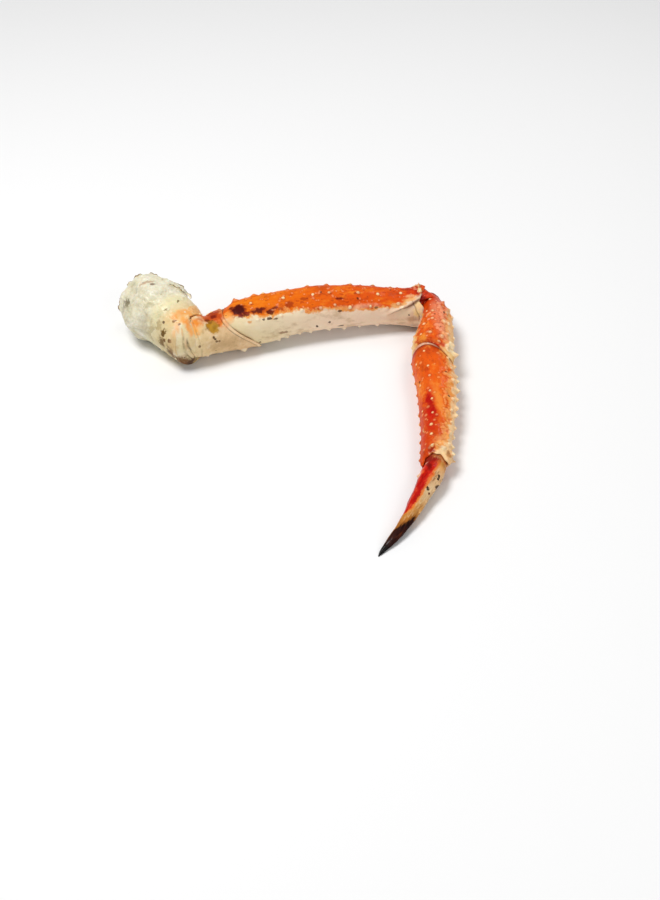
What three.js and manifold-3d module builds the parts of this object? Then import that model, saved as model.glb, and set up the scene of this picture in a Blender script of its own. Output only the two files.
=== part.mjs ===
// A cooked king crab leg: one walking leg cut off with its shoulder of body meat, lying on its side.
// Millimetres, +Z up, resting on z = 0. +X runs along the merus from the shoulder to the knee, and the
// lower leg reaches towards -Y. The origin is under the middle of the leg's bounding box.
//
// Every piece of shell is a loft along its own axis. Its local frame is X along the leg, Y towards the
// dorsal side, on the outside of the bends, and Z towards the face that lies uppermost. An angle round
// the leg is counted from the dorsal side towards that face, so 180 is the ventral side.
import * as THREE from "three";
import { ConvexGeometry } from "three/addons/geometries/ConvexGeometry.js";
import { mergeVertices } from "three/addons/utils/BufferGeometryUtils.js";
import Module from "manifold-3d";

const wasm = await Module();
wasm.setup();

// ---- Driving dimensions: millimetres and degrees ----

const merusStart = new THREE.Vector3(-42.5, 106.4, 22.8); // the rest of the leg hangs from here
const hipOffset = new THREE.Vector3(9, -1.6, -1.7); // from the start of the ischium to the end of the coxa
const kneeOffset = new THREE.Vector3(10.8, 5, 1.8); // from the merus's end to the start of the carpus
const jointGap = 0.45; // left between one piece and the next
const spineRoot = 0.9; // how deep a spine is set into its shell
const spineSides = 5;
const randomSeed = 7;

// heading is the direction in plan from +X, rise the slope above level, and roll the turn of the dorsal
// side from straight up to the piece's left. A station is [share of the length, half height from dorsal
// to ventral, half thickness through the faces, bow towards the dorsal side]. head is the length of the
// domed near end. Skews and arches shift an end along the leg: a skew slants it from dorsal to ventral,
// and an arch draws it back on the faces. A ridge is [angle, share of the radius, degrees wide]. A row
// of spines is [angle, first share, last share, count, height, root radius].
const pieces = {
  shoulder: {
    length: 38, heading: -59, rise: -7, roll: 30, head: 17, rings: 13, sides: 26,
    stations: [[0, 25, 24.5, -1.5], [0.3, 29.5, 29, -2], [0.6, 30.5, 29.5, -1.5], [0.85, 29.5, 28, -0.5],
      [1, 28, 26.5, 0]],
    ridges: [[120, 0.05, 26], [-60, 0.05, 40], [35, 0.04, 22], [75, -0.04, 18]],
    spines: [],
  },
  coxa: {
    length: 32, heading: -58, rise: -5, roll: 34, head: 4, rings: 9, sides: 24, endSkew: -0.36,
    stations: [[0, 26.5, 25, 0], [0.3, 26.2, 24.8, 0], [0.7, 24.6, 23.4, -0.2], [1, 22.6, 22, -0.4]],
    ridges: [[100, 0.03, 35]],
    spines: [[30, 0.35, 0.8, 2, 1.4, 1.8], [150, 0.45, 0.85, 2, 1.4, 1.8]],
  },
  ischium: {
    length: 50, heading: 10, rise: -3.5, roll: 40, head: 7, rings: 13, sides: 22, endSkew: -0.77,
    endArch: 13,
    stations: [[0, 18, 17.5, -1], [0.14, 18.8, 18.3, -1], [0.45, 16.8, 17, -2.4],
      [0.8, 19, 18, -1], [1, 20.4, 18.6, 0]],
    ridges: [[172, 0.05, 24], [10, 0.03, 30]],
    spines: [[174, 0.25, 0.5, 2, 1.3, 1.6], [12, 0.3, 0.75, 3, 1.6, 1.8], [168, 0.8, 0.8, 1, 3.4, 3.4]],
  },
  merus: {
    length: 173, heading: 0.2, rise: -1.8, roll: 45, head: 7, rings: 24, sides: 24, startSkew: -0.77,
    startArch: 13, endSkew: 0.22, endArch: 8,
    stations: [[0, 18.4, 16.8, 1.2], [0.07, 19.6, 17.3, 3.4], [0.17, 19.6, 17.5, 6.6], [0.42, 19.7, 17.5, 9.6],
      [0.68, 17.8, 16.5, 7.3], [0.8, 16.3, 15.6, 4.8], [0.89, 16.6, 15.8, 2.7], [1, 18.6, 16.6, 0.5]],
    ridges: [[8, 0.05, 22], [98, 0.08, 24], [172, 0.07, 22], [-95, 0.05, 30]],
    spines: [[4, 0.05, 0.93, 9, 1.9, 2.3], [52, 0.12, 0.88, 7, 1.3, 1.7], [96, 0.12, 0.92, 9, 1.5, 1.9],
      [172, 0.1, 0.74, 8, 2, 2.1], [-40, 0.15, 0.9, 6, 1.5, 1.9], [16, 0.965, 0.965, 1, 3, 2.8]],
  },
  carpus: {
    length: 80.5, heading: -104, rise: -2, roll: 72, head: 5.5, rings: 15, sides: 22, endSkew: 0.5,
    endArch: 7,
    stations: [[0, 8.5, 9.5, -1.2], [0.14, 11, 12, 1], [0.33, 13.2, 14, 4.2], [0.55, 15.8, 15.5, 3.3],
      [0.8, 17.8, 16.2, 1.2], [1, 18.2, 16.6, 0]],
    ridges: [[5, 0.07, 20], [75, 0.05, 26], [180, 0.04, 30]],
    spines: [[6, 0.22, 0.8, 5, 2.4, 2.4], [2, 0.93, 0.93, 1, 4.6, 3.2], [34, 0.2, 0.92, 5, 2.2, 2.3],
      [72, 0.15, 0.85, 4, 1.7, 1.9], [112, 0.4, 0.9, 3, 1.5, 1.8], [172, 0.5, 0.92, 3, 1.8, 2],
      [-40, 0.25, 0.85, 4, 2.2, 2.2]],
  },
  propodus: {
    length: 127.5, heading: -103.4, rise: -1.5, roll: 76, head: 7, rings: 20, sides: 20, startSkew: 0.3,
    startArch: 6, endArch: 4,
    stations: [[0, 17, 14.5, -0.5], [0.08, 18, 15, 0], [0.2, 17.4, 14.2, 1.8], [0.34, 16.4, 13.6, 2.8],
      [0.5, 15.2, 12.8, 3], [0.7, 13.6, 12, 2.3], [0.88, 12.6, 11.4, 0.8], [1, 13, 11.8, 0]],
    ridges: [[0, 0.07, 22], [85, 0.03, 30], [178, 0.05, 24]],
    spines: [[0, 0.06, 0.95, 11, 2.7, 2.1], [30, 0.07, 0.88, 9, 2.2, 2], [76, 0.06, 0.86, 8, 1.4, 1.7],
      [176, 0.05, 0.9, 10, 1.7, 1.8], [138, 0.12, 0.8, 4, 1.2, 1.5], [-45, 0.15, 0.85, 5, 1.8, 1.9],
      [52, 0.965, 0.965, 1, 1.9, 1.9], [92, 0.96, 0.96, 1, 2.1, 2], [170, 0.97, 0.97, 1, 1.9, 1.8]],
  },
  dactyl: {
    length: 102, heading: -131, rise: -7.2, roll: 80, head: 6, rings: 18, sides: 14,
    stations: [[0, 8.6, 8.4, 0], [0.1, 9.8, 8.8, 1.1], [0.3, 7.8, 7, 2.6], [0.55, 5.6, 5.2, 4.1],
      [0.8, 3.8, 3.5, 2.7], [0.95, 1.8, 1.6, 0.4], [1, 0.8, 0.8, 0]],
    ridges: [[0, 0.08, 26], [90, 0.05, 26]],
    spines: [[4, 0.16, 0.5, 4, 0.9, 1.1], [40, 0.16, 0.42, 3, 0.8, 1], [172, 0.15, 0.15, 1, 1.6, 1.6]],
  },
};

// Soft skin shows in these joints. span is the gap that it bridges, fill its share of the shells' size,
// and reach the share of the far shell's length that it takes in.
const membranes = {
  coxa_membrane: { near: "coxa", far: "ischium", span: 5.5, fill: 0.9, reach: 0.05 },
  ischium_membrane: { near: "ischium", far: "merus", span: 2.6, fill: 0.93, reach: 0.01 },
  knee_membrane: { near: "merus", far: "carpus", span: 10, fill: 0.86, reach: 0.1 },
  carpus_membrane: { near: "carpus", far: "propodus", span: 3, fill: 0.93, reach: 0.01 },
  dactyl_membrane: { near: "propodus", far: "dactyl", span: 3.4, fill: 0.84, reach: 0.02 },
};

// Torn film on the shoulder: [share of the length, angle, width, reach, slope]. The slope is the tilt
// from the surface's outward way, backward to the cut end if it is negative and forward if it is not.
const tornFlaps = [[0.05, -20, 13, 4, -72], [0.05, 18, 15, 6, -78], [0.05, 52, 16, 5, -62],
  [0.05, 84, 12, 3.5, -55], [0.05, 128, 15, 4, -58], [0.05, 168, 12, 4, -60], [0.05, -64, 14, 4, -60],
  [0.72, 4, 17, 13, 68], [0.5, 22, 12, 7, 60]];
const flapThickness = 1.5;

// ---- Helpers ----

const radians = THREE.MathUtils.degToRad;

// Mulberry32, so that every build scatters the spines alike.
function seededRandom(seed) {
  let state = seed;
  return () => {
    state = (state + 0x6d2b79f5) | 0;
    let mixed = Math.imul(state ^ (state >>> 15), 1 | state);
    mixed = (mixed + Math.imul(mixed ^ (mixed >>> 7), 61 | mixed)) ^ mixed;
    return ((mixed ^ (mixed >>> 14)) >>> 0) / 4294967296;
  };
}

// The stations' columns at a share of the length, on a smooth curve through them all.
function atShare(stations, share) {
  const last = stations.length - 1;
  const t = THREE.MathUtils.clamp(share, stations[0][0], stations[last][0]);
  const i = Math.min(stations.findLastIndex((row) => row[0] <= t), last - 1);
  const slope = (k, column) => {
    const before = stations[Math.max(k - 1, 0)];
    const after = stations[Math.min(k + 1, last)];
    return (after[column] - before[column]) / (after[0] - before[0]);
  };
  const step = stations[i + 1][0] - stations[i][0];
  const u = (t - stations[i][0]) / step;
  return [1, 2, 3].map((column) => {
    const [from, to] = [stations[i][column], stations[i + 1][column]];
    const [leave, arrive] = [slope(i, column) * step, slope(i + 1, column) * step];
    return from + u * (leave + u * (3 * (to - from) - 2 * leave - arrive
      + u * (leave + arrive - 2 * (to - from))));
  });
}

// A closed mesh as a manifold-3d solid.
function toSolid(geometry) {
  const bare = geometry.clone();
  ["normal", "uv"].forEach((name) => bare.deleteAttribute(name));
  const merged = mergeVertices(bare, 1e-4);
  return new wasm.Manifold(new wasm.Mesh({
    numProp: 3,
    vertProperties: merged.attributes.position.array,
    triVerts: new Uint32Array(merged.index.array),
  }));
}

function toGeometry(solid) {
  const { vertProperties, triVerts } = solid.getMesh();
  return new THREE.BufferGeometry()
    .setAttribute("position", new THREE.BufferAttribute(vertProperties, 3))
    .setIndex(new THREE.BufferAttribute(triVerts, 1));
}

const largestBody = (solid) => solid.decompose().reduce((a, b) => (b.volume() > a.volume() ? b : a));

// A closed skin over rings of points that all have the same count, with a point at each end.
function skin(rings, firstTip, lastTip) {
  const sides = rings[0].length;
  const points = [...rings.flat(), firstTip, lastTip];
  const index = [];
  for (let side = 0; side < sides; side++) {
    const next = (side + 1) % sides;
    for (let ring = 0; ring < rings.length - 1; ring++) {
      const [a, b] = [ring * sides + side, ring * sides + next];
      index.push(a, b, a + sides, b, b + sides, a + sides);
    }
    const lastRing = (rings.length - 1) * sides;
    index.push(rings.length * sides, next, side);
    index.push(rings.length * sides + 1, lastRing + side, lastRing + next);
  }
  return new THREE.BufferGeometry().setFromPoints(points).setIndex(index);
}

// ---- A piece of shell ----

class Shell {
  constructor(shape) {
    Object.assign(this, { startSkew: 0, endSkew: 0, startArch: 0, endArch: 0 }, shape);
    const [turn, slope] = [radians(shape.heading), radians(shape.rise)];
    this.axis = new THREE.Vector3(
      Math.cos(slope) * Math.cos(turn), Math.cos(slope) * Math.sin(turn), Math.sin(slope));
    const left = new THREE.Vector3(0, 0, 1).cross(this.axis).normalize();
    const above = this.axis.clone().cross(left);
    this.dorsal = above.multiplyScalar(Math.cos(radians(shape.roll)))
      .addScaledVector(left, Math.sin(radians(shape.roll)));
    this.face = this.axis.clone().cross(this.dorsal);
  }

  place(start) {
    this.matrix = new THREE.Matrix4().makeBasis(this.axis, this.dorsal, this.face).setPosition(start);
    return this;
  }

  placeEnd(end) {
    return this.place(end.clone().addScaledVector(this.axis, -this.length));
  }

  // The point on the shell, or inflate outside it, at a share of the length and an angle in degrees.
  point(share, angle, inflate = 0, scale = 1) {
    const [halfHeight, halfThickness, bow] = atShare(this.stations, share);
    let bulge = 1;
    for (const [at, amount, width] of this.ridges) {
      const off = THREE.MathUtils.euclideanModulo(angle - at + 180, 360) - 180;
      bulge += amount * Math.exp(-((off / width) ** 2));
    }
    const turn = radians(angle);
    const y = Math.cos(turn) * (halfHeight * bulge + inflate) * scale;
    const z = Math.sin(turn) * (halfThickness * bulge + inflate) * scale;
    const nearStart = 1 - THREE.MathUtils.smoothstep(share, 0, 0.4);
    const nearEnd = THREE.MathUtils.smoothstep(share, 0.2, 1);
    const shift = (nearStart * this.startSkew + nearEnd * this.endSkew) * y
      - (nearStart * this.startArch + nearEnd * this.endArch) * Math.sin(turn) ** 2 * scale;
    return new THREE.Vector3(share * this.length + shift, y + bow, z);
  }

  ring(share, sides, inflate = 0, scale = 1, along = 0) {
    return Array.from({ length: sides }, (_, side) =>
      this.point(share, (side * 360) / sides, inflate, scale).setX(
        this.point(share, (side * 360) / sides, inflate, scale).x + along));
  }

  // The whole loft in world space: a dome, the rings, and a flat far end.
  loft(inflate = 0) {
    const rings = [26, 58].map((latitude) =>
      this.ring(0, this.sides, inflate, Math.sin(radians(latitude)),
        -(this.head + inflate) * Math.cos(radians(latitude))));
    for (let i = 0; i <= this.rings; i++) {
      const share = i / this.rings;
      rings.push(this.ring(share, this.sides, inflate, 1, i === this.rings ? inflate : 0));
    }
    const firstTip = new THREE.Vector3(-this.head - inflate, atShare(this.stations, 0)[2], 0);
    const lastTip = new THREE.Vector3(this.length + inflate, atShare(this.stations, 1)[2], 0);
    return skin(rings, firstTip, lastTip).applyMatrix4(this.matrix);
  }

  // The outward direction at a place on the shell, in the local frame.
  outward(share, angle) {
    const along = this.point(share + 0.01, angle).sub(this.point(share - 0.01, angle));
    const round = this.point(share, angle + 2).sub(this.point(share, angle - 2));
    return along.cross(round).negate().normalize();
  }

  // One cone for each spine of each row, leaning a little towards the far end of the leg.
  thorns(random) {
    const made = [];
    for (const [angle, first, last, count, height, radius] of this.spines)
      for (let i = 0; i < count; i++) {
        const jitter = count > 1 ? 1 : 0;
        const spacing = count > 1 ? (last - first) / (count - 1) : 0;
        const share = first + spacing * (i + jitter * 0.4 * (random() - 0.5));
        const size = 0.8 + 0.4 * random();
        const where = angle + jitter * 9 * (random() - 0.5);
        const lean = this.outward(share, where).add(new THREE.Vector3(0.35, 0, 0)).normalize();
        const length = height * size + spineRoot;
        const thorn = new THREE.ConeGeometry(radius * size, length, spineSides);
        thorn.translate(0, length / 2 - spineRoot, 0);
        thorn.applyQuaternion(new THREE.Quaternion().setFromUnitVectors(new THREE.Vector3(0, 1, 0), lean));
        const root = this.point(Math.min(share, 1 - (radius * size) / this.length), where);
        thorn.translate(root.x, root.y, root.z);
        made.push(thorn.applyMatrix4(this.matrix));
      }
    return made;
  }
}

// ---- The leg, from the merus both ways ----

const shells = Object.fromEntries(Object.entries(pieces).map(([name, shape]) => [name, new Shell(shape)]));
const endOf = (shell) => new THREE.Vector3(shell.length, 0, 0).applyMatrix4(shell.matrix);
const startOf = (shell) => new THREE.Vector3().applyMatrix4(shell.matrix);
const stepBack = (shell, skinLength) => startOf(shell).addScaledVector(shell.axis, -skinLength);
const stepOn = (shell, skinLength) => endOf(shell).addScaledVector(shell.axis, skinLength);

shells.merus.place(merusStart);
shells.ischium.placeEnd(stepBack(shells.merus, membranes.ischium_membrane.span));
shells.coxa.placeEnd(stepBack(shells.ischium, membranes.coxa_membrane.span).add(hipOffset));
shells.shoulder.placeEnd(startOf(shells.coxa));
shells.carpus.place(endOf(shells.merus).add(kneeOffset));
shells.propodus.place(stepOn(shells.carpus, membranes.carpus_membrane.span));
shells.dactyl.place(stepOn(shells.propodus, membranes.dactyl_membrane.span));

// One torn flap of film: its own Y runs from its root to its ragged edge.
function tornFlap([share, angle, width, reach, slope], shell, random) {
  const outline = new THREE.Shape();
  outline.moveTo(-width / 2, -3);
  outline.lineTo(width / 2, -3);
  for (const along of [0.5, 0.22, -0.08, -0.3, -0.5])
    outline.lineTo(along * width, reach * (0.45 + 0.55 * random()));
  const flap = new THREE.ExtrudeGeometry(outline, { depth: flapThickness, bevelEnabled: false, steps: 1 });
  flap.translate(0, 0, -flapThickness / 2);
  const root = shell.point(share, angle, -1.5);
  const tip = shell.outward(share, angle).multiplyScalar(Math.cos(radians(slope)))
    .add(new THREE.Vector3(Math.sin(radians(slope)), 0, 0)).normalize();
  const across = shell.point(share, angle + 5).sub(shell.point(share, angle - 5)).normalize();
  const normal = across.cross(tip).normalize();
  const upright = new THREE.Matrix4().makeBasis(tip.clone().cross(normal), tip, normal);
  return flap.applyMatrix4(upright.setPosition(root)).applyMatrix4(shell.matrix);
}

const random = seededRandom(randomSeed);
const solids = {};
for (const [name, shell] of Object.entries(shells)) {
  let solid = toSolid(shell.loft());
  for (const thorn of shell.thorns(random)) solid = solid.add(toSolid(thorn));
  solids[name] = solid;
}
for (const flap of tornFlaps) solids.shoulder = solids.shoulder.add(toSolid(tornFlap(flap, shells.shoulder, random)));

// Each piece makes room for the next one down the leg.
const order = Object.keys(shells);
order.slice(0, -1).forEach((name, i) => {
  const next = order[i + 1];
  solids[name] = solids[name].subtract(solids[next].add(toSolid(shells[next].loft(jointGap))));
});

// Skin is stretched from the near shell's far rim to the start of the far shell.
for (const [name, { near, far, fill, reach }] of Object.entries(membranes)) {
  const rims = [[shells[near], 1], [shells[far], reach]].flatMap(([shell, share]) =>
    shell.ring(share, shell.sides, 0, fill, jointGap).map((point) => point.applyMatrix4(shell.matrix)));
  const step = shells[near].axis.clone().multiplyScalar(jointGap);
  const nearShell = solids[near].add(solids[near].translate(step.toArray()));
  const farShell = solids[far].add(toSolid(shells[far].loft(1.5 * jointGap)));
  solids[name] = toSolid(new ConvexGeometry(rims)).subtract(nearShell).subtract(farShell);
}

// Whatever would reach below the table is pressed flat: mostly the soft shoulder.
const table = new THREE.BoxGeometry(900, 900, 60).translate(0, 0, -30);
for (const name of Object.keys(solids)) solids[name] = largestBody(solids[name].subtract(toSolid(table)));

// ---- Materials and meshes ----

const paint = (color, roughness) => new THREE.MeshStandardMaterial({ color, roughness, metalness: 0 });
const materials = {
  shoulder: paint(0xe6dcc0, 0.5),
  coxa: paint(0xe8cfa4, 0.45),
  ischium: paint(0xdfb98a, 0.42),
  merus: paint(0xe2702a, 0.38),
  carpus: paint(0xe66a22, 0.38),
  propodus: paint(0xe2601f, 0.38),
  dactyl: paint(0xb8481c, 0.35),
};
const membraneMaterial = paint(0xd9a283, 0.5);

const leg = new THREE.Group();
for (const [name, solid] of Object.entries(solids)) {
  const shell = shells[name] ?? shells[membranes[name].near];
  const mesh = new THREE.Mesh(
    toGeometry(solid).applyMatrix4(shell.matrix.clone().invert()), materials[name] ?? membraneMaterial);
  mesh.name = name;
  mesh.applyMatrix4(shell.matrix);
  leg.add(mesh);
}

export default leg;
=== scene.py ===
# %% [markdown]
# # A cooked king crab leg
#
# One walking leg of a king crab lies bent at the knee. It has a soft white shoulder of body meat, six
# pieces of hard shell, and thin skins that close the joints between them. Each piece is one mesh that
# is built here in code and painted with shader nodes. All of them but the torn film on the shoulder
# lie over the measured solid that they stand for. We start by loading those solids, and we remember
# the box that they fill.

# %% Load the measured leg
import math
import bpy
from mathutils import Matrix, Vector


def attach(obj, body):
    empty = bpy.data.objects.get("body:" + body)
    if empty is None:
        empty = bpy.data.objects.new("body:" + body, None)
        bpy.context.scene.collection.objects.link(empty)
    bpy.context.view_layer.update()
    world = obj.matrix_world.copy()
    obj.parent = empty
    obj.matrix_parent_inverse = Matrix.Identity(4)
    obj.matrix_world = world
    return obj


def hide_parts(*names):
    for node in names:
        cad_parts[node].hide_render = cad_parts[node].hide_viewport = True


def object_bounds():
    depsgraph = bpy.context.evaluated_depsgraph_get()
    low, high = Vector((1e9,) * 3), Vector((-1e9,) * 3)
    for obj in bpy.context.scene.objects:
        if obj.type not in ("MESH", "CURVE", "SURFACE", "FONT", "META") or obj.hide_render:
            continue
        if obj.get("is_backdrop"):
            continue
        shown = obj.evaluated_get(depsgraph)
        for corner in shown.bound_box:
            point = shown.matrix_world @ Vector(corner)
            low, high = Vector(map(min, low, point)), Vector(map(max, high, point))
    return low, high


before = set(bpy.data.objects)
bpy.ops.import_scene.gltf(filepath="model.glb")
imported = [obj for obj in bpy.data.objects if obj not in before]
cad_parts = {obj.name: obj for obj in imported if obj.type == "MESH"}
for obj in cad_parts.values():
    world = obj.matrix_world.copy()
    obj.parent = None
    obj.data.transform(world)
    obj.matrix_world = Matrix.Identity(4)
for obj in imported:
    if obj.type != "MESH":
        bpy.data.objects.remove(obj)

from types import SimpleNamespace

import bpy
import numpy as np
from mathutils import Vector

measured_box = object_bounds()
print("measured solids:", sorted(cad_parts))

# %% [markdown]
# ## The leg's dimensions
#
# A crab's leg is a chain of tapering tubes. Each tube is described along its own axis: where the axis
# points, how far the shell is rolled about it, and how high and thick it is at a few stations. Sizes
# are in millimetres and degrees, and only the finished meshes are turned into Blender's metres.
#
# A station is (share of the length, half height from dorsal to ventral, half thickness through the
# faces, bow towards the dorsal side). A ridge is (angle, share of the radius, degrees wide). A row of
# spines is (angle, first share, last share, count, height, root radius). Angles go round the leg from
# the dorsal side at 0, over the face that lies uppermost at 90, to the ventral side at 180. The head is
# the depth of the dome at the near end, and skew and arch say how an end slants and how it curves.

# %% Shapes of the soft shoulder and the hip
METRES = 0.001

SHAPES = {
    "shoulder": dict(
        length=38, heading=-59, rise=-7, roll=30, head=17,
        stations=[(0, 25, 24.5, -1.5), (0.3, 29.5, 29, -2), (0.6, 30.5, 29.5, -1.5),
                  (0.85, 29.5, 28, -0.5), (1, 28, 26.5, 0)],
        ridges=[(120, 0.05, 26), (-60, 0.05, 40), (35, 0.04, 22), (75, -0.04, 18)],
        spines=[]),
    "coxa": dict(
        length=32, heading=-58, rise=-5, roll=34, head=4, end_skew=-0.36,
        stations=[(0, 26.5, 25, 0), (0.3, 26.2, 24.8, 0), (0.7, 24.6, 23.4, -0.2), (1, 22.6, 22, -0.4)],
        ridges=[(100, 0.03, 35)],
        spines=[(30, 0.35, 0.8, 2, 0.4, 1.2), (150, 0.45, 0.85, 2, 1.4, 1.8)]),
    "ischium": dict(
        length=50, heading=10, rise=-3.5, roll=40, head=7, end_skew=-0.77, end_arch=13,
        stations=[(0, 18, 17.5, -1), (0.14, 18.8, 18.3, -1), (0.45, 16.8, 17, -2.4), (0.8, 19, 18, -1),
                  (1, 20.4, 18.6, 0)],
        ridges=[(172, 0.05, 24), (10, 0.03, 30)],
        spines=[(174, 0.25, 0.5, 2, 1.3, 1.6), (12, 0.3, 0.75, 3, 1.6, 1.8),
                (172, 0.75, 0.75, 1, 4.0, 4.8)]),
}

# %% Shapes of the long upper leg
SHAPES["merus"] = dict(
    length=173, heading=0.2, rise=-1.8, roll=45, head=7, start_skew=-0.77, start_arch=13,
    end_skew=0.22, end_arch=8,
    stations=[(0, 18.4, 16.8, 1.2), (0.07, 19.6, 17.3, 3.4), (0.17, 19.6, 17.5, 6.6), (0.42, 19.7, 17.5, 9.6),
              (0.68, 17.8, 16.5, 7.3), (0.8, 16.3, 15.6, 4.8), (0.89, 16.6, 15.8, 2.7), (1, 18.6, 16.6, 0.5)],
    ridges=[(8, 0.05, 22), (98, 0.08, 24), (172, 0.07, 22), (-95, 0.05, 30)],
    spines=[(4, 0.05, 0.93, 9, 1.9, 2.3), (52, 0.12, 0.88, 7, 1.3, 1.7), (96, 0.12, 0.92, 9, 1.5, 1.9),
            (172, 0.1, 0.74, 8, 2, 2.1), (-40, 0.15, 0.9, 6, 1.5, 1.9), (16, 0.965, 0.965, 1, 3, 2.8)])
SHAPES["carpus"] = dict(
    length=80.5, heading=-104, rise=-2, roll=72, head=5.5, end_skew=0.5, end_arch=7,
    stations=[(0, 8.5, 9.5, -1.2), (0.14, 11, 12, 1), (0.33, 13.2, 14, 4.2), (0.55, 15.8, 15.5, 3.3),
              (0.8, 17.8, 16.2, 1.2), (1, 18.2, 16.6, 0)],
    ridges=[(5, 0.07, 20), (75, 0.05, 26), (180, 0.04, 30)],
    spines=[(6, 0.24, 0.8, 5, 1.5, 2.2), (2, 0.93, 0.93, 1, 3.4, 3.2), (34, 0.2, 0.92, 5, 1.7, 2.3),
            (86, 0.15, 0.85, 4, 1.7, 1.9), (112, 0.4, 0.9, 3, 1.5, 1.8), (172, 0.5, 0.92, 3, 1.8, 2),
            (-40, 0.25, 0.85, 4, 2.2, 2.2)])

# %% Shapes of the lower leg and the claw
SHAPES["propodus"] = dict(
    length=127.5, heading=-103.4, rise=-1.5, roll=76, head=7, start_skew=0.3, start_arch=6, end_arch=4,
    stations=[(0, 17, 14.5, -0.5), (0.08, 18, 15, 0), (0.2, 17.4, 14.2, 1.8), (0.34, 16.4, 13.6, 2.8),
              (0.5, 15.2, 12.8, 3), (0.7, 13.6, 12, 2.3), (0.88, 12.6, 11.4, 0.8), (1, 13, 11.8, 0)],
    ridges=[(0, 0.07, 22), (85, 0.03, 30), (178, 0.05, 24)],
    spines=[(0, 0.06, 0.95, 11, 2.7, 2.1), (30, 0.07, 0.88, 9, 2.2, 2), (101, 0.08, 0.84, 8, 1.4, 1.7),
            (176, 0.05, 0.9, 10, 1.7, 1.8), (138, 0.12, 0.8, 4, 1.2, 1.5), (-45, 0.15, 0.85, 5, 1.8, 1.9),
            (52, 0.965, 0.965, 1, 1.9, 1.9), (92, 0.96, 0.96, 1, 2.1, 2), (170, 0.97, 0.97, 1, 1.9, 1.8)])
SHAPES["dactyl"] = dict(
    length=102, heading=-131, rise=-7.2, roll=80, head=6,
    stations=[(0, 8.6, 8.4, 0), (0.1, 9.8, 8.8, 1.1), (0.3, 7.8, 7, 2.6), (0.55, 5.6, 5.2, 4.1),
              (0.8, 3.8, 3.5, 2.7), (0.95, 1.8, 1.6, 0.4), (1, 0.8, 0.8, 0)],
    ridges=[(0, 0.08, 26), (90, 0.05, 26)],
    spines=[(4, 0.16, 0.5, 4, 0.9, 1.1), (40, 0.16, 0.42, 3, 0.8, 1), (172, 0.15, 0.15, 1, 1.6, 1.6)])
print("shapes:", ", ".join(f"{name} {shape['length']} mm" for name, shape in SHAPES.items()))

# %% [markdown]
# ## A tube that knows its own surface
#
# Blender could sweep a circle along a curve, but a crab's shell isn't round: it has flat faces, blunt
# ridges and slanted ends. So each shell is a small Python object that answers one question with NumPy
# arrays: where is the surface at this share of the length and this angle?

# %% Smooth curves through the stations
def smoothstep(value, low, high):
    t = np.clip((value - low) / (high - low), 0.0, 1.0)
    return t * t * (3 - 2 * t)


def through_stations(stations, share):
    """The stations' three columns at each share of the length, on a smooth curve."""
    table = np.array(stations, float)
    last = len(table) - 1
    t = np.clip(share, 0.0, 1.0)
    i = np.clip(np.searchsorted(table[:, 0], t, side="right") - 1, 0, last - 1)
    before, after = table[np.maximum(i - 1, 0)], table[np.minimum(i + 2, last)]
    here, there = table[i], table[i + 1]
    step = (there[..., 0] - here[..., 0])[..., None]
    leave = (there - before) / (there[..., 0] - before[..., 0])[..., None] * step
    arrive = (after - here) / (after[..., 0] - here[..., 0])[..., None] * step
    u = ((t - here[..., 0])[..., None]) / step
    curve = here + u * (leave + u * (3 * (there - here) - 2 * leave - arrive
                                     + u * (leave + arrive - 2 * (there - here))))
    return curve[..., 1], curve[..., 2], curve[..., 3]


half_height, half_thickness, _ = through_stations(SHAPES["merus"]["stations"], 0.5)
print(f"halfway along, the merus is {2 * half_height:.1f} mm high and {2 * half_thickness:.1f} mm thick")

# %% [markdown]
# The object keeps the axis and the two directions across it. Besides a share and an angle, the surface
# can be asked for a little further out, scaled towards the axis or moved along it, which is how lips,
# domes and sockets are drawn.

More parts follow.
